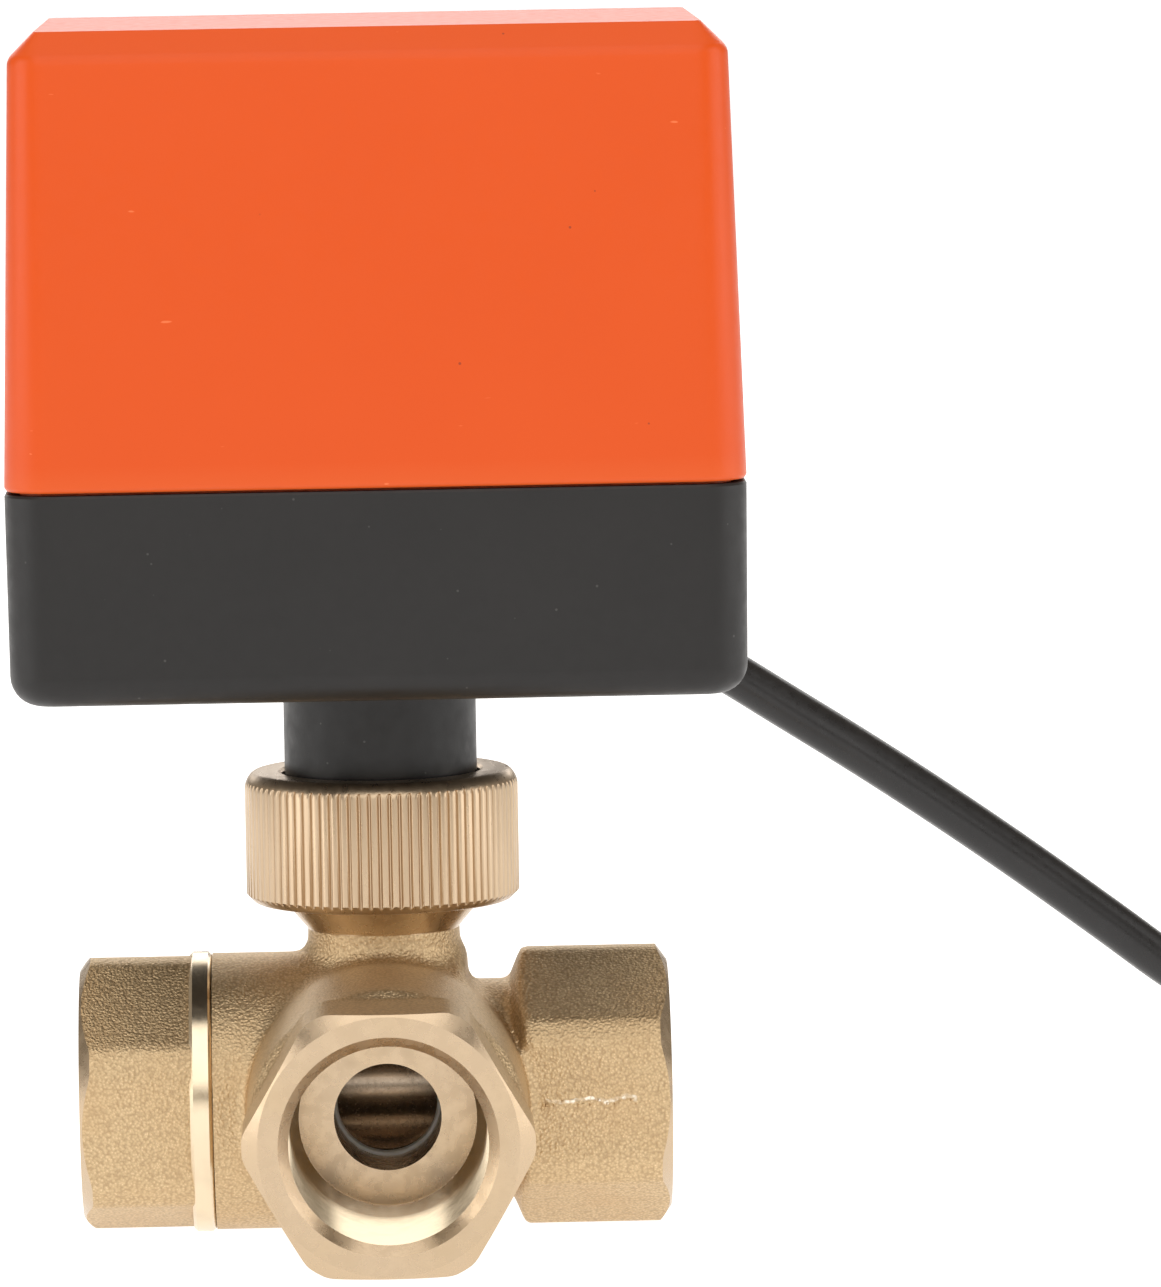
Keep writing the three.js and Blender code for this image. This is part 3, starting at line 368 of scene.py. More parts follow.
def board():
    look = Look("board_green", (0.012, 0.11, 0.045), 0.3, Coat_Weight=0.5)
    tracks = look.add("ShaderNodeTexBrick")
    tracks.inputs["Scale"].default_value = 0.16
    tracks.inputs["Mortar Size"].default_value = 0.05
    look.join(look.place((1, 1, 1)), tracks.inputs["Vector"])
    look.tint(tracks.outputs["Fac"], (0.05, 0.22, 0.09))
    look.roughen(look.noise(1, 3), 0.25, 0.4)
    return look.emboss(tracks.outputs["Fac"], 0.03)


def white_floor():
    look = Look("floor", (0.42, 0.42, 0.42), 0.8, Specular_IOR_Level=0.1, Emission_Strength=0.98)
    look.shader.inputs["Emission Color"].default_value = (1, 1, 1, 1)
    look.tint(look.remap(look.noise(90, 2), 0.4, 0.7, 0, 0.3), (0.4, 0.4, 0.4))
    return look


LOOKS = {made.name: made.material for made in (
    cast_brass(), turned_brass(), polished_brass(), nut_brass(),
    bright_metal("ball_chrome", (0.5, 0.4, 0.3), 0.24, depth=0.001),
    bright_metal("stem_brass", (0.7, 0.5, 0.24), 0.26, (1, 1, 6)),
    ptfe(),
    moulding("seal_rubber", (0.012, 0.012, 0.012), 0.6, 0.02),
    bright_metal("spring_steel", (0.55, 0.55, 0.56), 0.22),
    black_housing(), orange_cover(),
    bright_metal("zinc_screw", (0.6, 0.6, 0.57), 0.28, (1, 1, 4)),
    bright_metal("sintered_bronze", (0.42, 0.25, 0.11), 0.5, depth=0.03),
    bright_metal("steel_plate", (0.6, 0.61, 0.62), 0.3, (0.15, 1, 1)),
    bright_metal("shaft_steel", (0.5, 0.5, 0.51), 0.24, (1, 1, 6)),
    moulding("gear_plastic", (0.78, 0.72, 0.58), 0.38),
    winding(),
    moulding("ferrite", (0.03, 0.03, 0.033), 0.55, 0.04),
    moulding("switch_black", (0.012, 0.012, 0.013), 0.4),
    moulding("plunger_red", (0.32, 0.012, 0.01), 0.35),
    board(),
    moulding("capacitor_yellow", (0.6, 0.36, 0.03), 0.25),
    moulding("terminal_green", (0.03, 0.22, 0.08), 0.4),
    lead_pvc(),
    moulding("tie_nylon", (0.01, 0.01, 0.01), 0.38),
    moulding("core_blue", (0.02, 0.08, 0.35), 0.3),
    moulding("core_brown", (0.13, 0.045, 0.016), 0.3),
    moulding("core_yellow", (0.6, 0.45, 0.03), 0.3),
    bright_metal("copper_strand", (0.75, 0.4, 0.25), 0.3, (1, 1, 0.2), 0.03),
)}


def look(name):
    return LOOKS[name]


# ---------------- building meshes

AIM = {  # columns: where a turned piece's own x, y and axis point
    "up": Matrix(((1, 0, 0), (0, 1, 0), (0, 0, 1))),
    "right": Matrix(((0, 0, 1), (1, 0, 0), (0, 1, 0))),
    "left": Matrix(((0, 0, -1), (-1, 0, 0), (0, 1, 0))),
    "front": Matrix(((1, 0, 0), (0, 0, -1), (0, 1, 0))),
    "rear": Matrix(((1, 0, 0), (0, 0, 1), (0, -1, 0))),
}
TURNED_SIDES = 96


def solid(name, points, faces, finish, aim="up", at=(0, 0, 0)):
    """A mesh object from points in millimetres, with its faces turned outwards."""
    points = np.asarray(points, float) @ np.array(AIM[aim]).T + np.asarray(at, float)
    mesh = bpy.data.meshes.new(name)
    mesh.from_pydata((points * MM + np.array(CENTRE)).tolist(), [], faces)
    mesh.materials.append(look(finish))
    shape = bmesh.new()
    shape.from_mesh(mesh)
    bmesh.ops.recalc_face_normals(shape, faces=shape.faces)
    shape.to_mesh(mesh)
    shape.free()
    return new_object(name, mesh)


def softened(outline, radius, closed=False, steps=3):
    """The outline with its corners rounded, apart from those on the turning axis."""
    corners = [Vector(corner) for corner in outline]
    soft = []
    for i, corner in enumerate(corners):
        is_end = not closed and i in (0, len(corners) - 1)
        if is_end or corner.x == 0:
            soft.append(corner)
            continue
        before = corners[i - 1] - corner
        after = corners[(i + 1) % len(corners)] - corner
        reach = min(radius, 0.45 * before.length, 0.45 * after.length)
        start = corner + before.normalized() * reach
        end = corner + after.normalized() * reach
        for step in range(steps + 1):
            t = step / steps
            soft.append(start * (1 - t) ** 2 + corner * 2 * t * (1 - t) + end * t ** 2)
    return soft


def turned(name, outline, finish, aim="up", at=(0, 0, 0), soft=0.0, closed=False,
           sides=TURNED_SIDES):
    """A piece turned from an outline of (radius, height); closed for a ring with a bore."""
    outline = softened(outline, soft, closed) if soft else [Vector(corner) for corner in outline]
    angles = np.arange(sides) * 2 * math.pi / sides
    points, rows = [], []
    for radius, height in outline:
        if radius == 0:
            rows.append([len(points)] * sides)
            points.append((0, 0, height))
        else:
            rows.append(list(range(len(points), len(points) + sides)))
            points.extend((radius * math.cos(a), radius * math.sin(a), height) for a in angles)
    return solid(name, points, walls(rows, closed), finish, aim, at)


def walls(rows, closed):
    """Faces between rows of points that run round a piece."""
    pairs = list(zip(rows, rows[1:])) + ([(rows[-1], rows[0])] if closed else [])
    faces = []
    for low, high in pairs:
        for i in range(len(low)):
            j = (i + 1) % len(low)
            face = list(dict.fromkeys((low[i], low[j], high[j], high[i])))
            if len(face) > 2:
                faces.append(face)
    return faces


def loft(name, loops, finish, at=(0, 0, 0), closed=False):
    """A piece through loops of equally many points, with flat ends unless it is closed."""
    count = len(loops[0])
    rows = [list(range(i * count, (i + 1) * count)) for i in range(len(loops))]
    ends = [] if closed else [rows[0], rows[-1]]
    return solid(name, sum(loops, []), walls(rows, closed) + ends, finish, at=at)


def round_loft(name, angles, profile, finish, closed=False):
    """A piece from a profile of (radius, or one for each angle; height)."""
    loops = []
    for radii, height in profile:
        radii = np.broadcast_to(radii, len(angles))
        loops.append([(r * math.cos(a), r * math.sin(a), height) for r, a in zip(radii, angles)])
    return loft(name, loops, finish, closed=closed)


def rounded_loop(half_u, half_v, radius, steps):
    """Points round a rectangle with round corners, as (u, v)."""
    points = []
    for quarter, (side_u, side_v) in enumerate(QUARTERS):
        for step in range(steps + 1):
            angle = (quarter + step / steps) * math.pi / 2
            points.append((side_u * (half_u - radius) + radius * math.cos(angle),
                           side_v * (half_v - radius) + radius * math.sin(angle)))
    return points


def block(name, x, y, z, finish, at=(0, 0, 0)):
    """A box from where it starts and ends along each axis."""
    corners = [(a, b, c) for a in x for b in y for c in z]
    return solid(name, corners, BOX_FACES, finish, at=at)


BOX_CORNER = 5.0
BOX_CORNER_STEPS = 8
SMALLEST_CORNER = 0.8
OFF_AXIS = 100  # keeps an inset of 0 from counting as a corner on the turning axis


def box_loft(name, levels, finish, soft=0.0):
    """A box with round vertical corners through levels of (inset from the joint's size, height)."""
    if soft:
        levels = softened([(inset + OFF_AXIS, height) for inset, height in levels], soft, steps=4)
        levels = [(inset - OFF_AXIS, height) for inset, height in levels]
    loops = []
    for inset, height in levels:
        radius = max(BOX_CORNER - inset, SMALLEST_CORNER)
        corners = rounded_loop(BOX_X - inset, BOX_Y - inset, radius, BOX_CORNER_STEPS)
        loops.append([(x, y, height) for x, y in corners])
    return loft(name, loops, finish)


def bake(piece):
    """Makes what the modifiers show the piece's own mesh."""
    depsgraph = bpy.context.evaluated_depsgraph_get()
    mesh = bpy.data.meshes.new_from_object(piece.evaluated_get(depsgraph))
    piece.modifiers.clear()
    piece.data = mesh


def combine(piece, operation, tools):
    """Cuts, joins or intersects; a cut face keeps the tool's finish, and the tools are used up."""
    for tool in tools:
        modifier = piece.modifiers.new("combine", "BOOLEAN")
        modifier.operation = operation
        modifier.solver = "MANIFOLD"
        modifier.material_mode = "TRANSFER"
        modifier.object = tool
    bake(piece)
    for tool in tools:
        bpy.data.objects.remove(tool)
    return piece


def cut(piece, *tools):
    return combine(piece, "DIFFERENCE", tools)


def join(piece, *tools):
    return combine(piece, "UNION", tools)


SHARP_ANGLE = 32


def smooth(piece, angle):
    """Smooth shading, apart from edges that turn by more than the angle in degrees."""
    piece.data.shade_smooth()
    piece.data.set_sharp_from_angle(angle=math.radians(angle))


def put(piece, body, slot, *nodes, angle=SHARP_ANGLE):
    """Finishes a mesh piece: smooth shading, the body that it rides on, and what it stands for."""
    smooth(piece, angle)
    return place_piece(piece, body, slot, *nodes)


def place_piece(piece, body, slot, *nodes):
    """Says which body a piece rides on and the CAD nodes that it stands for; its material slot is
    not used.
    """
    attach(piece, body)
    if nodes:
        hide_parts(*nodes)
    return piece


# ---------------- lead

LEAD_R = 2.5
LEAD_ROUTE = [  # out of the housing's rear, and down to the right
    (12, 21, 51.5), (12, 30, 51.5), (12, 39, 51.5), (12, 48, 51.5), (13.2, 56, 50.5),
    (16.6, 63.4, 48.2), (22.2, 69.6, 44.9), (29.4, 74, 40.8), (37.4, 76.2, 36.3),
    (46, 76.8, 30.8), (55, 76.8, 25), (64, 76.8, 18.9), (73, 76.8, 12.5), (82, 76.8, 5.8),
    (90, 76.8, -0.2), (97, 77, -4.4), (103, 77.3, -7.2),
]
LEAD_LANDING = [(110, 77.6, -9.9), (117.5, 77.3, -11.2)]  # onto the coil's first turn
COIL_TURNS = 2
COIL_START_R = 30.0
TURN_PITCH = 5.0  # from one turn to the next inside it
COIL_START = math.radians(82)
POINTS_PER_TURN = 30
BOOT_HOLE_R = 4.1
BOOT_PLUG_R = 3.8
BOOT_INNER_R = 4.9
BOOT_FLANGE_R = 5.4
BOOT_RIBS = 5
RIB_PITCH = 3
CORE_R = 0.8
CORE_END_R = 16.3  # from the coil's middle to the outermost core's tip
CORE_SPACING = 2.3
STRAND_R = 0.55
STRIPPED_POINTS = 10  # of a core's route that its bare tip takes


def coil_point(turns, radius=None, height=None):
    """On the coil after that many turns, clockwise from above."""
    angle = COIL_START - turns * 2 * math.pi
    radius = COIL_START_R - TURN_PITCH * turns if radius is None else radius
    height = COIL.z if height is None else height
    return (COIL.x + radius * math.cos(angle), COIL.y + radius * math.sin(angle), height)


def spline_through(points, steps=8):
    """Points along a smooth curve through all the given ones."""
    points = [Vector(p) for p in points]
    ends = [2 * points[0] - points[1], *points, 2 * points[-1] - points[-2]]
    curve = []
    for a, b, c, d in zip(ends, ends[1:], ends[2:], ends[3:]):
        for step in range(steps):
            t = step / steps
            curve.append(0.5 * (2 * b + (c - a) * t + (2 * a - 5 * b + 4 * c - d) * t ** 2
                                + (3 * b - a - 3 * c + d) * t ** 3))
    return [*curve, points[-1]]


def round_curve(name, points, radius, finish):
    """A round wire or sheath along points in millimetres, with closed ends."""
    data = bpy.data.curves.new(name, "CURVE")
    data.dimensions = "3D"
    data.bevel_depth = radius * MM
    data.bevel_resolution = 6
    data.use_fill_caps = True
    data.materials.append(look(finish))
    spline = data.splines.new("POLY")
    spline.points.add(len(points) - 1)
    for target, point in zip(spline.points, points):
        target.co = (*world(point), 1)
    spline.use_smooth = True
    return new_object(name, data)


def make_lead():
    coil = [coil_point(i / POINTS_PER_TURN) for i in range(COIL_TURNS * POINTS_PER_TURN + 1)]
    line = spline_through([*LEAD_ROUTE, *LEAD_LANDING, *coil], 5)
    sheath = place_piece(round_curve("lead_sheath", line, LEAD_R, "lead_pvc"), "frame", "lead_pvc",
                         "cable", "cable_coil")

    wall = BOX_Y - WALL
    bore = LEAD_R + 0.05
    ribs = []
    for i in range(BOOT_RIBS):
        y = BOX_Y + 4.4 + RIB_PITCH * i
        crest = 4.5 - 0.19 * i
        groove = crest - 0.75
        ribs += [(crest, y - 1), (groove, y - 0.6), (groove, y + 0.6), (crest - 0.06, y + 1)]
    boot = turned("lead_boot", [
        (bore, BOOT_START), (BOOT_INNER_R, BOOT_START), (BOOT_INNER_R, wall - 0.3),
        (BOOT_PLUG_R, wall - 0.3), (BOOT_PLUG_R, BOX_Y + 0.2), (BOOT_FLANGE_R, BOX_Y + 0.2),
        (BOOT_FLANGE_R, BOX_Y + 2), (4.6, BOX_Y + 2.6), *ribs, (3.4, BOOT_END), (bore, BOOT_END),
    ], "lead_pvc", "rear", (LEAD_X, 0, LEAD_Z), soft=0.25, closed=True, sides=64)
    put(boot, "frame", "lead_pvc", "cable_boot")

    pieces = [boot, make_tie()]
    floor = COIL.z - LEAD_R
    for i, finish in enumerate(("core_blue", "core_brown", "core_yellow")):
        radius = CORE_END_R - CORE_SPACING * i
        start = COIL_START_R - TURN_PITCH * COIL_TURNS
        offset = 0.9 * (1 - i)
        route = [coil_point(COIL_TURNS - 0.01, start + offset, COIL.z - 0.2),
                 coil_point(COIL_TURNS + 0.006, start - 0.2 + offset, COIL.z - 0.5)]
        for step in range(7):
            route.append(coil_point(COIL_TURNS + 0.037 + 0.05 * step, radius, floor + 0.9))
        route = spline_through(route, 8)
        core = round_curve(finish, route[:1 - STRIPPED_POINTS], CORE_R, finish)
        place_piece(core, "frame", finish, f"core_{i + 1}")
        tip = round_curve(f"{finish}_strands", route[-STRIPPED_POINTS:], STRAND_R, "copper_strand")
        place_piece(tip, "frame", "copper_winding")
        pieces += [core, tip]


TIE_THICK = 0.75
TIE_HALF_WIDTH = 1.7
TIE_EDGE = 0.2
TIE_CORNER_STEPS = 5
TIE_HEAD = [(-2.5, -2.2), (2.5, -2.2), (2.5, 2.2), (-2.5, 2.2)]


def make_tie():
    """A band round both turns on the coil's front side, with its head on top."""
    turns = (COIL_START + math.pi / 2) / (2 * math.pi)
    outer = COIL_START_R - TURN_PITCH * turns + LEAD_R
    inner = outer - TURN_PITCH - 2 * LEAD_R
    half_y, half_z = (outer - inner) / 2 + 0.15, LEAD_R + 0.1
    low_edge, flat = TIE_THICK - TIE_EDGE, TIE_HALF_WIDTH - TIE_EDGE
    band = []
    for grow, x in ((0, -TIE_HALF_WIDTH), (low_edge, -TIE_HALF_WIDTH), (TIE_THICK, -flat),
                    (TIE_THICK, flat), (low_edge, TIE_HALF_WIDTH), (0, TIE_HALF_WIDTH)):
        loop = rounded_loop(half_y + grow, half_z + grow, LEAD_R + grow, TIE_CORNER_STEPS)
        band.append([(x, y, z) for y, z in loop])
    at = (COIL.x, COIL.y - (outer + inner) / 2, COIL.z)
    tie = loft("coil_tie_band", band, "tie_nylon", at, closed=True)
    levels = []
    for inset, rise in ((0.4, 0.35), (0, 0.7), (0, 3.0), (0.5, 3.5)):
        levels.append([(x - math.copysign(inset, x), y - math.copysign(inset, y), rise + half_z)
                       for x, y in TIE_HEAD])
    head = loft("head", levels, "tie_nylon", at)
    return put(join(tie, head), "frame", "tie_nylon", "coil_tie", angle=25)


make_lead()

# ---------------- valve castings


def smooth_min(a, b, blend):
    """The nearer of two surfaces, with a fillet of about that size where they meet."""
    share = np.clip(0.5 + 0.5 * (b - a) / blend, 0, 1)
    return b * (1 - share) + a * share - blend * share * (1 - share)


def smooth_max(a, b, blend):
    return -smooth_min(-a, -b, blend)


def hexagon(u, v, across, corner):
    """How far outside a hexagon bar a point is; the bar's corners lie on the u axis."""
    distance = np.abs(v) - across / 2
    for angle in (math.pi / 6, -math.pi / 6):
        side = np.abs(u * math.cos(angle) + v * math.sin(angle)) - across / 2
        distance = smooth_max(distance, side, corner)
    return distance


def between(values, start, end):
    return np.maximum(start - values, values - end)


def surface_net(distance, low, high, step):
    """Points and faces where a distance is zero, with one point in each cell that it crosses."""
    axes = [np.arange(a, b + step, step) for a, b in zip(low, high)]
    values = distance(*np.meshgrid(*axes, indexing="ij"))
    inside = values < 0
    cells = np.array(values.shape) - 1
    total = np.zeros((*cells, 3))
    count = np.zeros(cells)
    faces = []
    index = np.cumsum(np.ones(cells, int)).reshape(cells) - 1
    for axis in range(3):
        others = [a for a in range(3) if a != axis]
        first = np.take(values, range(cells[axis]), axis)
        second = np.take(values, range(1, cells[axis] + 1), axis)
        starts_inside = np.take(inside, range(cells[axis]), axis)
        crosses = starts_inside != np.take(inside, range(1, cells[axis] + 1), axis)
        along = np.where(crosses, first / np.where(crosses, first - second, 1), 0)
        place = np.stack(np.indices(crosses.shape), -1).astype(float)
        place[..., axis] += along
        around = []
        for shift in ((0, 0), (1, 0), (1, 1), (0, 1)):
            part = [slice(None)] * 3
            for other, offset in zip(others, shift):
                part[other] = slice(offset, offset + cells[other])
            total += place[tuple(part)] * crosses[tuple(part)][..., None]
            count += crosses[tuple(part)]
        edges = np.argwhere(crosses)
        edges = edges[np.all(edges[:, others] > 0, 1)]
        for shift in ((1, 1), (0, 1), (0, 0), (1, 0)):
            corner = edges.copy()
            corner[:, others] -= shift
            around.append(index[tuple(corner.T)])
        quads = np.stack(around, 1)
        flip = starts_inside[tuple(edges.T)] ^ (axis == 1)
        quads[flip] = quads[flip][:, ::-1]
        faces.append(quads)
    used = count > 0
    points = total[used] / count[used][:, None] * step + np.array(low)
    renumber = np.cumsum(used.ravel()) - 1
    return points, renumber[np.concatenate(faces)].tolist()


SIDE_AF = 26.5  # across the flats of a side port's hexagon
SIDE_TURNED_R = 14.5
FRONT_AF = 26.7
FRONT_TURNED_R = 14.75
BARREL_R = 14.4
BARREL_END = 8.4
WAIST_R = 11.2
WAIST_END = 12.9
WAIST_STEEPNESS = 2.4  # of the cone from the waist to the hexagon
HEX_START = 14.4
BRANCH_R = 14.5
BRANCH_TAPER = 0.02
BRANCH_WIDEST = 14  # how far forward that is
FRONT_HEX_START = 28.0
BONNET_R = 7.9
BONNET_TOP = 17.6
SCAR_START, SCAR_END = 16, 26
SCAR_WIDTH = 0.4
CAST_SPARE = 2  # cast beyond a port's end, and then turned off
LEFT_HEX_END = -20.3
COLLAR_END = -18.0
CAP_TURN = math.radians(9.5)
CAST_STEP = 0.42


def side_hexagon(u, v):
    """The side ports' hexagon, its corners turned off."""
    return smooth_max(hexagon(u, v, SIDE_AF, 0.2), np.hypot(u, v) - SIDE_TURNED_R, 0.25)


def body_casting(x, y, z):
    """The cast outside of the body, before anything is machined."""
    across = np.hypot(y, z)
    barrel_length = between(x, BARREL_START - CAST_SPARE, BARREL_END)
    barrel = smooth_max(across - BARREL_R, barrel_length, 1.4)
    waist = np.maximum(across - WAIST_R, between(x, 0, HEX_START + 3))
    cone = across - WAIST_R - WAIST_STEEPNESS * (x - WAIST_END)
    cone = cone / math.hypot(1, WAIST_STEEPNESS)
    wander = 0.22 * np.sin(2.1 * x) + 0.15 * np.sin(5.3 * x)
    scar = (0.4 + 0.12 * np.sin(7 * x)) * np.exp(-((z - wander) / SCAR_WIDTH) ** 2)
    scar = scar * ((y < 0) & (x > SCAR_START) & (x < SCAR_END))
    hexagon_bar = side_hexagon(z, y) - scar
    right = smooth_max(np.maximum(hexagon_bar, x - RIGHT_END - CAST_SPARE), cone, 0.5)
    side = smooth_min(smooth_min(barrel, waist, 1.4), right, 0.7)

    around = np.hypot(x, z)
    branch = smooth_max(around - BRANCH_R + BRANCH_TAPER * np.abs(y + BRANCH_WIDEST),
                        between(-y, 0, FRONT_HEX_START + 0.6), 1.6)
    front = smooth_max(hexagon(x, z, FRONT_AF, 0.5), around - FRONT_TURNED_R, 0.3)
    front = np.maximum(front, between(-y, FRONT_HEX_START, FRONT_END + CAST_SPARE))
    branch = smooth_min(branch, front, 0.7)
    bonnet = np.maximum(np.hypot(x, y) - BONNET_R, between(z, 0, BONNET_TOP))
    shape = smooth_min(side, branch, 1.2)
    return smooth_min(shape, bonnet, 2.0)


def cap_casting(x, y, z):
    """The end cap's hexagon, turned as far as it happened to be screwed in."""
    turned_y = y * math.cos(CAP_TURN) + z * math.sin(CAP_TURN)
    turned_z = z * math.cos(CAP_TURN) - y * math.sin(CAP_TURN)
    length = between(x, LEFT_END - CAST_SPARE, LEFT_HEX_END + 1)
    return np.maximum(side_hexagon(turned_z, turned_y), length)


def casting(name, distance, low, high):
    points, faces = surface_net(distance, low, high, CAST_STEP)
    return solid(name, points, faces, "cast_brass")


WELL_OUTSIDE = 20  # a radius that clears every casting
END_CHAMFER = 1.15
END_CHAMFER_IN = 1.6
PORT_R = 10.3
PORT_MOUTH_R = 11.1
PORT_FLOOR_R = 9.1
PORT_DEPTH = 13.8
FRONT_PORT_DEPTH = 19.8
MOUTH_CHAMFER = 1.1
GROOVE_PITCH = 0.6
GROOVE_DEPTH = 0.26
GROOVE_RISE = 0.75  # the share of a groove that climbs, before it drops towards the mouth
BORE_R = 5.5
SEAT_POCKET_R = 7.5
SEAT_BACK = 10.7
PAST = 0.6  # how far a tool reaches past the face that it cuts


def end_tool(name, end, radius, aim):
    """Turns a hexagon's end: a flat face and a steep chamfer."""
    return turned(name, [
        (0, end + 4), (WELL_OUTSIDE, end + 4), (WELL_OUTSIDE, end - END_CHAMFER),
        (radius, end - END_CHAMFER), (radius - END_CHAMFER_IN, end), (0, end),
    ], "turned_brass", aim)


def bored_to(floor):
    """The outline of a water way from the back of a seat to the floor of a socket."""
    return [(SEAT_POCKET_R, SEAT_BACK), (BORE_R, SEAT_BACK), (BORE_R, floor - 0.01),
            (BORE_R + 0.25, floor), (PORT_FLOOR_R, floor), (PORT_FLOOR_R, floor + 1),
            (0, floor + 1)]


def socket(floor, end, aim):
    """What a pipe socket leaves open: ring grooves, which catch the light as a fine thread does."""
    grooves = []
    for start in np.arange(floor + 1.5, end - 1.5, GROOVE_PITCH):
        crest = start + GROOVE_RISE * GROOVE_PITCH
        grooves += [(PORT_R, start), (PORT_R - GROOVE_DEPTH, crest)]
    return turned("socket", [
        (0, floor + 0.4), (PORT_FLOOR_R, floor + 0.4), (PORT_R, floor + 1.1), *grooves,
        (PORT_R, end - 0.8), (PORT_R, end + PAST), (0, end + PAST),
    ], "polished_brass", aim)


def mouth(end, aim):
    """The chamfer that opens a pipe socket at its end."""
    start = PORT_MOUTH_R - MOUTH_CHAMFER
    return turned("mouth", [
        (0, end - MOUTH_CHAMFER), (start, end - MOUTH_CHAMFER), (PORT_MOUTH_R, end),
        (PORT_MOUTH_R, end + PAST), (0, end + PAST),
    ], "turned_brass", aim)


SPIGOT_R = 11.2
THREAD_START = 21.1
THREAD_PITCH = 1.5
THREAD_DEPTH = 0.5
THREAD_STEP = 0.16  # from one ring of points to the next
THREAD_CHAMFER = 0.4
STEM_BORE_R = 4.8
STEM_ROOM_R = 6.4
STEM_ROOM_TOP = 13.2
CAP_THREAD_R = 11.8
CAP_THREAD_END = -10.3
BALL_ROOM_R = 10.2
BALL_ROOM_END = 7.2
CAP_PLUG_R = 11.5
CAP_PLUG_END = 11.7
CAP_NOSE_R = 9.9
CAP_NOSE_END = 8
COLLAR_EDGE = 0.35


def make_spigot():
    """The threaded upper end that the union nut is screwed onto."""
    angles = np.arange(TURNED_SIDES) * 2 * math.pi / TURNED_SIDES
    end = SPIGOT_TOP - THREAD_CHAMFER
    profile = [(BONNET_R - 0.2, 16.6), (BONNET_R + 0.1, 17.2), (SPIGOT_R - 0.15, 20.75),
               (SPIGOT_R, 21)]
    for height in np.arange(THREAD_START, end, THREAD_STEP):
        fade = min(1, (height - THREAD_START) / THREAD_PITCH, (end - height) / THREAD_PITCH)
        phase = (height / THREAD_PITCH - angles / (2 * math.pi)) % 1
        wave = 1 - np.abs(2 * phase - 1)
        depths = THREAD_DEPTH * fade * np.clip(1.4 * wave - 0.2, 0, 1)
        profile.append((SPIGOT_R - depths, height))
    profile.append((SPIGOT_R - THREAD_CHAMFER, end + THREAD_CHAMFER))
    return round_loft("spigot", angles, profile, "turned_brass")


def make_body():
    body = casting("valve_casting", body_casting, (-21, -43, -16.5), (32.5, 16.5, 18.6))
    join(body, make_spigot())
    left_face = -COLLAR_END - 0.08
    cut(body,
        end_tool("right_face", RIGHT_END, SIDE_TURNED_R, "right"),
        end_tool("front_face", FRONT_END, FRONT_TURNED_R, "front"),
        turned("left_face", [
            (0, left_face), (WELL_OUTSIDE, left_face), (WELL_OUTSIDE, 24), (0, 24),
        ], "turned_brass", "left"))
    right_floor = RIGHT_END - PORT_DEPTH
    front_floor = FRONT_END - FRONT_PORT_DEPTH
    along = turned("along", [
        (0, BARREL_START - 1), (CAP_THREAD_R, BARREL_START - 1), (CAP_THREAD_R, CAP_THREAD_END),
        (BALL_ROOM_R, CAP_THREAD_END), (BALL_ROOM_R, BALL_ROOM_END),
        (SEAT_POCKET_R, BALL_ROOM_END), *bored_to(right_floor),
    ], "turned_brass", "right")
    branch = turned("branch", [
        (0, 0), (SEAT_POCKET_R, 0), *bored_to(front_floor),
    ], "turned_brass", "front")
    for_stem = turned("for_stem", [
        (0, 0), (STEM_ROOM_R, 0), (STEM_ROOM_R, STEM_ROOM_TOP), (STEM_BORE_R, STEM_ROOM_TOP),
        (STEM_BORE_R, SPIGOT_TOP - 0.6), (STEM_BORE_R + 0.8, SPIGOT_TOP + 0.5),
        (0, SPIGOT_TOP + 0.5),
    ], "turned_brass")
    cut(body, along, branch, for_stem,
        socket(right_floor, RIGHT_END, "right"), socket(front_floor, FRONT_END, "front"),
        mouth(RIGHT_END, "right"), mouth(FRONT_END, "front"))
    put(body, "frame", "cast_brass", "valve_body")


def make_cap():
    cap = casting("end_cap_casting", cap_casting, (-34.5, -16, -16), (-18.4, 16, 16))
    rim = COLLAR_R - COLLAR_EDGE
    join(cap, turned("collar", [
        (0, -LEFT_HEX_END), (rim, -LEFT_HEX_END), (COLLAR_R, -LEFT_HEX_END - COLLAR_EDGE),
        (COLLAR_R, -COLLAR_END + COLLAR_EDGE), (rim, -COLLAR_END), (CAP_PLUG_R, -COLLAR_END),
        (CAP_PLUG_R, CAP_PLUG_END), (CAP_NOSE_R, CAP_PLUG_END), (CAP_NOSE_R, CAP_NOSE_END),
        (0, CAP_NOSE_END),
    ], "polished_brass", "left"))
    cut(cap, end_tool("cap_face", -LEFT_END, SIDE_TURNED_R, "left"))
    floor = -LEFT_END - PORT_DEPTH
    cut(cap, turned("cap_bore", [
        (0, CAP_NOSE_END - 0.5), (SEAT_POCKET_R, CAP_NOSE_END - 0.5), *bored_to(floor),
    ], "turned_brass", "left"), socket(floor, -LEFT_END, "left"), mouth(-LEFT_END, "left"))
    put(cap, "frame", "cast_brass", "end_cap")


make_body()
make_cap()

# ---------------- ball, seats, stem

BALL_STEPS = 64
BALL_BORE_FLARE = 0.7
GAP = 0.3
SEAT_BORE_R = BORE_R - 0.35


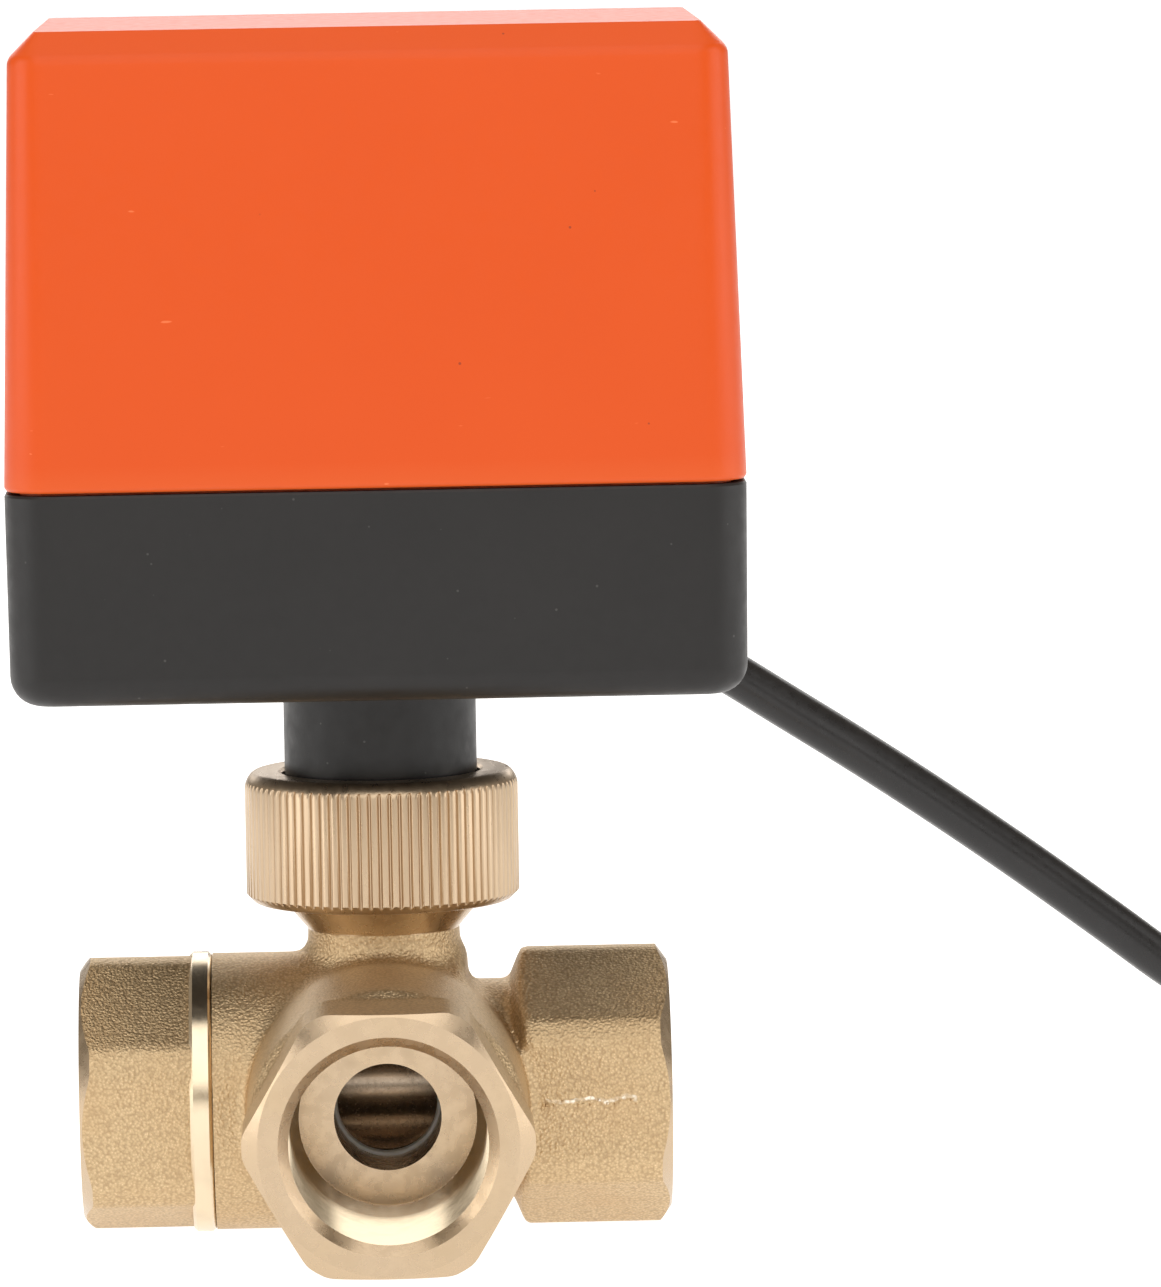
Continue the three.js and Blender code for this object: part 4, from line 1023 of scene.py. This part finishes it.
def make_ball():
    radius = span("ball", 0)[1]
    turns = [i * math.pi / BALL_STEPS for i in range(1, BALL_STEPS)]
    arc = [(radius * math.sin(turn), -radius * math.cos(turn)) for turn in turns]
    ball = turned("tee_ball", [(0, -radius), *arc, (0, radius)], "ball_chrome", "right", sides=128)
    flared = BORE_R + BALL_BORE_FLARE
    flare = [(BORE_R, 8.0), (flared, radius - 1.2), (flared, radius + 1)]
    mirrored = [(r, -z) for r, z in reversed(flare)]
    through = turned("through", [(0, -radius - 1), *mirrored, *flare, (0, radius + 1)],
                     "ball_chrome", "right")
    side = turned("side", [(0, 0), (BORE_R, 0), *flare, (0, radius + 1)], "ball_chrome", "front")
    stem_slot = block("slot", (-11, 11), (-1.8, 1.8), (6.6, 11), "ball_chrome")
    cut(ball, through, side, stem_slot)
    put(ball, "output_train", "ball_chrome", "ball")


def make_seat(node, aim):
    outer, back = SEAT_POCKET_R - GAP, SEAT_BACK - GAP
    seat = turned(f"{node}_ring", [
        (SEAT_BORE_R, 8.7), (outer, 7.4), (outer, back), (SEAT_BORE_R, back),
    ], "ptfe", aim, soft=0.3, closed=True)
    put(seat, "frame", "ptfe", node)


make_ball()
make_seat("seat_left", "left")
make_seat("seat_right", "right")
make_seat("seat_front", "front")

# ---------------- union nut

KNURLS = 84
KNURL_DEPTH = 0.34
# where a tooth's outline turns, as a share of its pitch, and how deep it is there
KNURL_TOOTH = [(0.0, 0), (0.28, 0), (0.5, 0.04), (0.6, 0.4), (0.7, 1), (0.8, 1), (0.9, 0.4),
               (0.98, 0.04)]
# the nut's round top edge: how far below the top, how far in, and how much of the knurl is left
NUT_EDGE = [(1.65, 0, 1), (1.3, 0.06, 1), (1.15, 0.1, 1), (1.0, 0.16, 0.5), (0.85, 0.23, 0),
            (0.7, 0.31, 0), (0.5, 0.44, 0), (0.3, 0.6, 0), (0.14, 0.8, 0), (0.04, 0.98, 0),
            (0, 1.15, 0)]
NUT_CHAMFER = 0.9  # at its lower edge
NUT_CHAMFER_RISES = (0.12, 0.4, 0.5, 0.6, 0.75, NUT_CHAMFER)
NUT_BORE_R = 10.35
NUT_SHOULDER = 30.2


def make_nut():
    angles, depths = [], []
    for tooth in range(KNURLS):
        for share, depth in KNURL_TOOTH:
            angles.append((tooth + share) * 2 * math.pi / KNURLS)
            depths.append(depth * KNURL_DEPTH)
    depths = np.array(depths)
    foot = NUT_R - NUT_CHAMFER
    profile = [(np.minimum(NUT_R - depths, foot - 0.15), NUT_BOTTOM)]
    for rise in NUT_CHAMFER_RISES:
        profile.append((np.minimum(NUT_R - depths, foot + rise), NUT_BOTTOM + rise))
    for drop, inset, knurl in NUT_EDGE:
        profile.append((np.minimum(NUT_R - knurl * depths, NUT_R - inset), NUT_TOP - drop))
    thread_r = SPIGOT_R + GAP
    profile += [(NUT_BORE_R + 0.3, NUT_TOP), (NUT_BORE_R, NUT_TOP - 0.3),
                (NUT_BORE_R, NUT_SHOULDER), (thread_r, NUT_SHOULDER), (thread_r, NUT_BOTTOM + 0.5),
                (thread_r + 0.5, NUT_BOTTOM)]
    nut = round_loft("knurled_nut", angles, profile, "nut_brass", closed=True)
    put(nut, "union_nut", "turned_brass", "union_nut", angle=38)


make_nut()

# ---------------- actuator housing

LIP = 1.3
BASE_Z = 43.35
BASE_EDGE_R = 3.0
BASE_DRAFT = 0.2
FLOOR_Z = BASE_Z + 3  # the top of the base's floor
REBATE_Z = 61.9
NECK_R = 10.0
NECK_BORE_R = 7.1
RING_GROOVE_R = 8.9
RING_GROOVE_Z = 28.3
COVER_SCREW_AT = (30.6, 21.6)
BOSS_R = 3.6
PILLAR_POST_AT = (23, 20)
PILLAR_POST_R = 3
PILLAR_POST_TOP = 59.7
PILLAR_HOLE_R = 1.5
PILLAR_HOLE_START = 51.5
BOARD_POST_X = (16, 31)
BOARD_POST_Y = (13, -13)
BOARD_POST_R = 2
BOARD_PEG_R = 1
BOARD_Z = 49.2
PEG_TOP = 52
COUNTERBORE_R = 3.1
COUNTERBORE_DEPTH = 2.6
SCREW_HOLE_R = 1.7
COVER_HOLE_TOP = 84
COVER_DRAFT = 1.29
COVER_CHAMFER = 2.7
JOINT_GAP = 0.3


def at_corners(make, x, y):
    """What make() gives at each of four places."""
    return [make((side_x * x, side_y * y, 0)) for side_x, side_y in QUARTERS]


def rod(radius, start, end, finish, at=(0, 0, 0), aim="up", sides=40):
    outline = [(0, start), (radius, start), (radius, end), (0, end)]
    return turned("rod", outline, finish, aim, at, sides=sides)


def make_base():
    finish = "black_housing"
    arc = [(BASE_DRAFT + BASE_EDGE_R * (1 - math.cos(a)), BASE_Z + BASE_EDGE_R * (1 - math.sin(a)))
           for a in np.linspace(math.pi / 2, 0, 9)]
    base = box_loft("base_shell", [*arc, (0.03, JOINT_Z - 0.25), (0.22, JOINT_Z)], finish)
    fillet = [(NECK_R + 1 - math.cos(a), BASE_Z - 1 + math.sin(a))
              for a in np.linspace(0, math.pi / 2, 5)]
    join(base, turned("neck", [
        (0, NECK_END), (NECK_R - 0.4, NECK_END), (NECK_R, NECK_END + 0.4), (NECK_R, RING_GROOVE_Z),
        (RING_GROOVE_R, RING_GROOVE_Z), (RING_GROOVE_R, NUT_SHOULDER), (NECK_R, NUT_SHOULDER),
        *fillet, (NECK_R + 1, BASE_Z + 1), (0, BASE_Z + 1),
    ], finish))
    cut(base, box_loft("hollow", [(WALL, FLOOR_Z), (WALL, JOINT_Z + 1)], finish))
    cut(base, box_loft("rebate", [(LIP, REBATE_Z), (LIP, JOINT_Z + 1)], finish))
    foot = FLOOR_Z - 0.5

    def boss(at):
        return rod(BOSS_R, foot, JOINT_Z - 0.01, finish, at)

    def pillar_post(at):
        return rod(PILLAR_POST_R, foot, PILLAR_POST_TOP, finish, at)

    def board_post(x, y):
        return turned("board_post", [
            (0, foot), (BOARD_POST_R, foot), (BOARD_POST_R, BOARD_Z), (BOARD_PEG_R, BOARD_Z),
            (BOARD_PEG_R, PEG_TOP), (0, PEG_TOP),
        ], finish, at=(x, y, 0), sides=24)

    def screw_hole(at):
        return turned("screw_hole", [
            (0, BASE_Z - 1), (COUNTERBORE_R + 0.4, BASE_Z - 1), (COUNTERBORE_R + 0.4, BASE_Z),
            (COUNTERBORE_R, BASE_Z + 0.4), (COUNTERBORE_R, BASE_Z + COUNTERBORE_DEPTH),
            (SCREW_HOLE_R, BASE_Z + COUNTERBORE_DEPTH), (SCREW_HOLE_R, JOINT_Z + 1),
            (0, JOINT_Z + 1),
        ], finish, at=at, sides=40)

    def pillar_hole(at):
        return rod(PILLAR_HOLE_R, PILLAR_HOLE_START, PILLAR_POST_TOP + 1.3, finish, at)

    join(base, *at_corners(boss, *COVER_SCREW_AT), *at_corners(pillar_post, *PILLAR_POST_AT),
         *[board_post(x, y) for x in BOARD_POST_X for y in BOARD_POST_Y])
    cut(base, *at_corners(screw_hole, *COVER_SCREW_AT), *at_corners(pillar_hole, *PILLAR_POST_AT),
        rod(NECK_BORE_R, NECK_END - 1, FLOOR_Z + 1, finish, sides=64),
        rod(BOOT_HOLE_R, BOX_Y - WALL - 1, BOX_Y + 1, finish, (LEAD_X, 0, LEAD_Z), "rear"))
    put(base, "frame", "black_housing", "base_housing")


def make_cover():
    finish = "orange_cover"
    bottom = JOINT_Z + JOINT_GAP
    chamfer_z = COVER_TOP - COVER_CHAMFER
    cover = box_loft("cover_shell", [
        (0.3, bottom), (0.02, bottom + 0.3), (COVER_DRAFT, chamfer_z),
        (COVER_DRAFT + COVER_CHAMFER, COVER_TOP),
    ], finish, soft=0.7)
    tongue_at = REBATE_Z + 1.6
    join(cover, box_loft("tongue", [
        (LIP + 0.6, tongue_at), (LIP + 0.3, tongue_at + 0.3), (LIP + 0.3, bottom + 1),
    ], finish))
    ceiling = COVER_TOP - WALL
    cut(cover, box_loft("inside", [
        (WALL, tongue_at - 1), (WALL, bottom), (WALL + COVER_DRAFT, ceiling),
    ], finish))

    def boss(at):
        return rod(BOSS_R, bottom, ceiling + 0.5, finish, at)

    def screw_hole(at):
        return rod(SCREW_HOLE_R, bottom - 1, COVER_HOLE_TOP, finish, at, sides=24)

    inset = COVER_DRAFT + 0.6
    within = box_loft("within", [(inset, bottom - 4), (inset, ceiling + 1)], finish)
    bosses = join(*at_corners(boss, *COVER_SCREW_AT))
    join(cover, combine(bosses, "INTERSECT", [within]))
    cut(cover, *at_corners(screw_hole, *COVER_SCREW_AT))
    put(cover, "frame", "orange_cover", "cover", angle=40)


SCREW_HEAD_R = 2.7
SCREW_HEAD_HEIGHT = 1.8
SCREW_CREST_R = 1.4
SCREW_ROOT_R = 1.05
SCREW_PITCH = 1.2
SCREW_THREADS = 13
SCREW_THREAD_LENGTH = 16
CROSS_ARMS = [(1.5, 0.32), (0.32, 1.5)]


def make_cover_screw(node):
    centre = (middle(node) - CENTRE) / MM
    low, high = span(node, 2)
    outline = [(0, low + 0.15), (SCREW_HEAD_R - 0.9, low), (SCREW_HEAD_R - 0.15, low + 0.5),
               (SCREW_HEAD_R, low + 0.9), (SCREW_HEAD_R, low + SCREW_HEAD_HEIGHT),
               (SCREW_CREST_R, low + SCREW_HEAD_HEIGHT)]
    for i in range(SCREW_THREADS):
        z = high - SCREW_THREAD_LENGTH + SCREW_PITCH * i
        outline += [(SCREW_CREST_R, z), (SCREW_ROOT_R, z + SCREW_PITCH / 2)]
    outline += [(0.8, high - 0.3), (0, high)]
    screw = turned(f"{node}_cross", outline, "zinc_screw", at=(centre.x, centre.y, 0), sides=40)
    cut(screw, *[block("arm", (-x, x), (-y, y), (-1, 1.3), "zinc_screw", (centre.x, centre.y, low))
                 for x, y in CROSS_ARMS])
    put(screw, "frame", "zinc_screw", node)


make_base()
make_cover()
for number in range(1, 5):
    make_cover_screw(f"cover_screw_{number}")

# ---------------- what stays as the CAD has it

CAD_SHARP_ANGLE = 35
CAD_EDGE = 0.08
CAD_EDGE_ANGLE = 50


def finish_cad_nodes():
    slots = {part["node"]: part["material_slot"] for part in frame["record"]["subparts"]}
    for node, piece in frame["nodes"].items():
        piece.data.materials.clear()
        piece.data.materials.append(look(slots[node]))
        if not piece.hide_render:
            smooth(piece, CAD_SHARP_ANGLE)
            edges = piece.modifiers.new("edges", "BEVEL")
            edges.width = CAD_EDGE * MM
            edges.segments = 2
            edges.limit_method = "ANGLE"
            edges.angle_limit = math.radians(CAD_EDGE_ANGLE)


finish_cad_nodes()

# ---------------- floor, light; in metres

FLOOR_HALF = 14.0
LIT_POINT = (0, 0, 0.06)
SURROUNDINGS = (1, 0.915, 0.8, 1)
SURROUNDINGS_STRENGTH = 0.29
WHITE = (1, 1, 1)
WARM = (1, 0.84, 0.64)
SOFT_BOXES = [  # name, place, width and height, power, colour
    ("front_box", (0, -0.89, 0.98), (1.5, 1.9), 13, WHITE),
    ("left_box", (-1.1, -0.3, 0.4), (0.8, 0.9), 4.5, WHITE),
    ("right_box", (1.1, -0.2, 0.4), (0.8, 0.9), 4, WHITE),
    ("top_box", (0, 0.35, 1.2), (1.4, 0.8), 4, WARM),
    ("back_box", (0, 1.5, 0.7), (1.8, 0.9), 9, WHITE),
]


def make_floor():
    mesh = bpy.data.meshes.new("floor")
    corners = [(x * FLOOR_HALF, y * FLOOR_HALF, 0) for x, y in ((-1, -1), (1, -1), (1, 1), (-1, 1))]
    mesh.from_pydata(corners, [], [(0, 1, 2, 3)])
    mesh.materials.append(white_floor().material)
    new_object("floor", mesh)


def soft_light(name, at, size, power, colour):
    data = bpy.data.lights.new(name, "AREA")
    data.color = colour
    data.shape = "RECTANGLE"
    data.size, data.size_y = size
    data.energy = power
    light = new_object(name, data)
    light.location = at
    light.rotation_euler = (Vector(LIT_POINT) - Vector(at)).to_track_quat("-Z", "Y").to_euler()


def make_light():
    scene = bpy.context.scene
    scene.view_settings.view_transform = "Standard"
    studio = bpy.data.worlds.new("studio")
    studio.use_nodes = True
    background = studio.node_tree.nodes["Background"]
    background.inputs["Color"].default_value = SURROUNDINGS
    background.inputs["Strength"].default_value = SURROUNDINGS_STRENGTH
    scene.world = studio
    for soft_box in SOFT_BOXES:
        soft_light(*soft_box)


make_floor()
make_light()
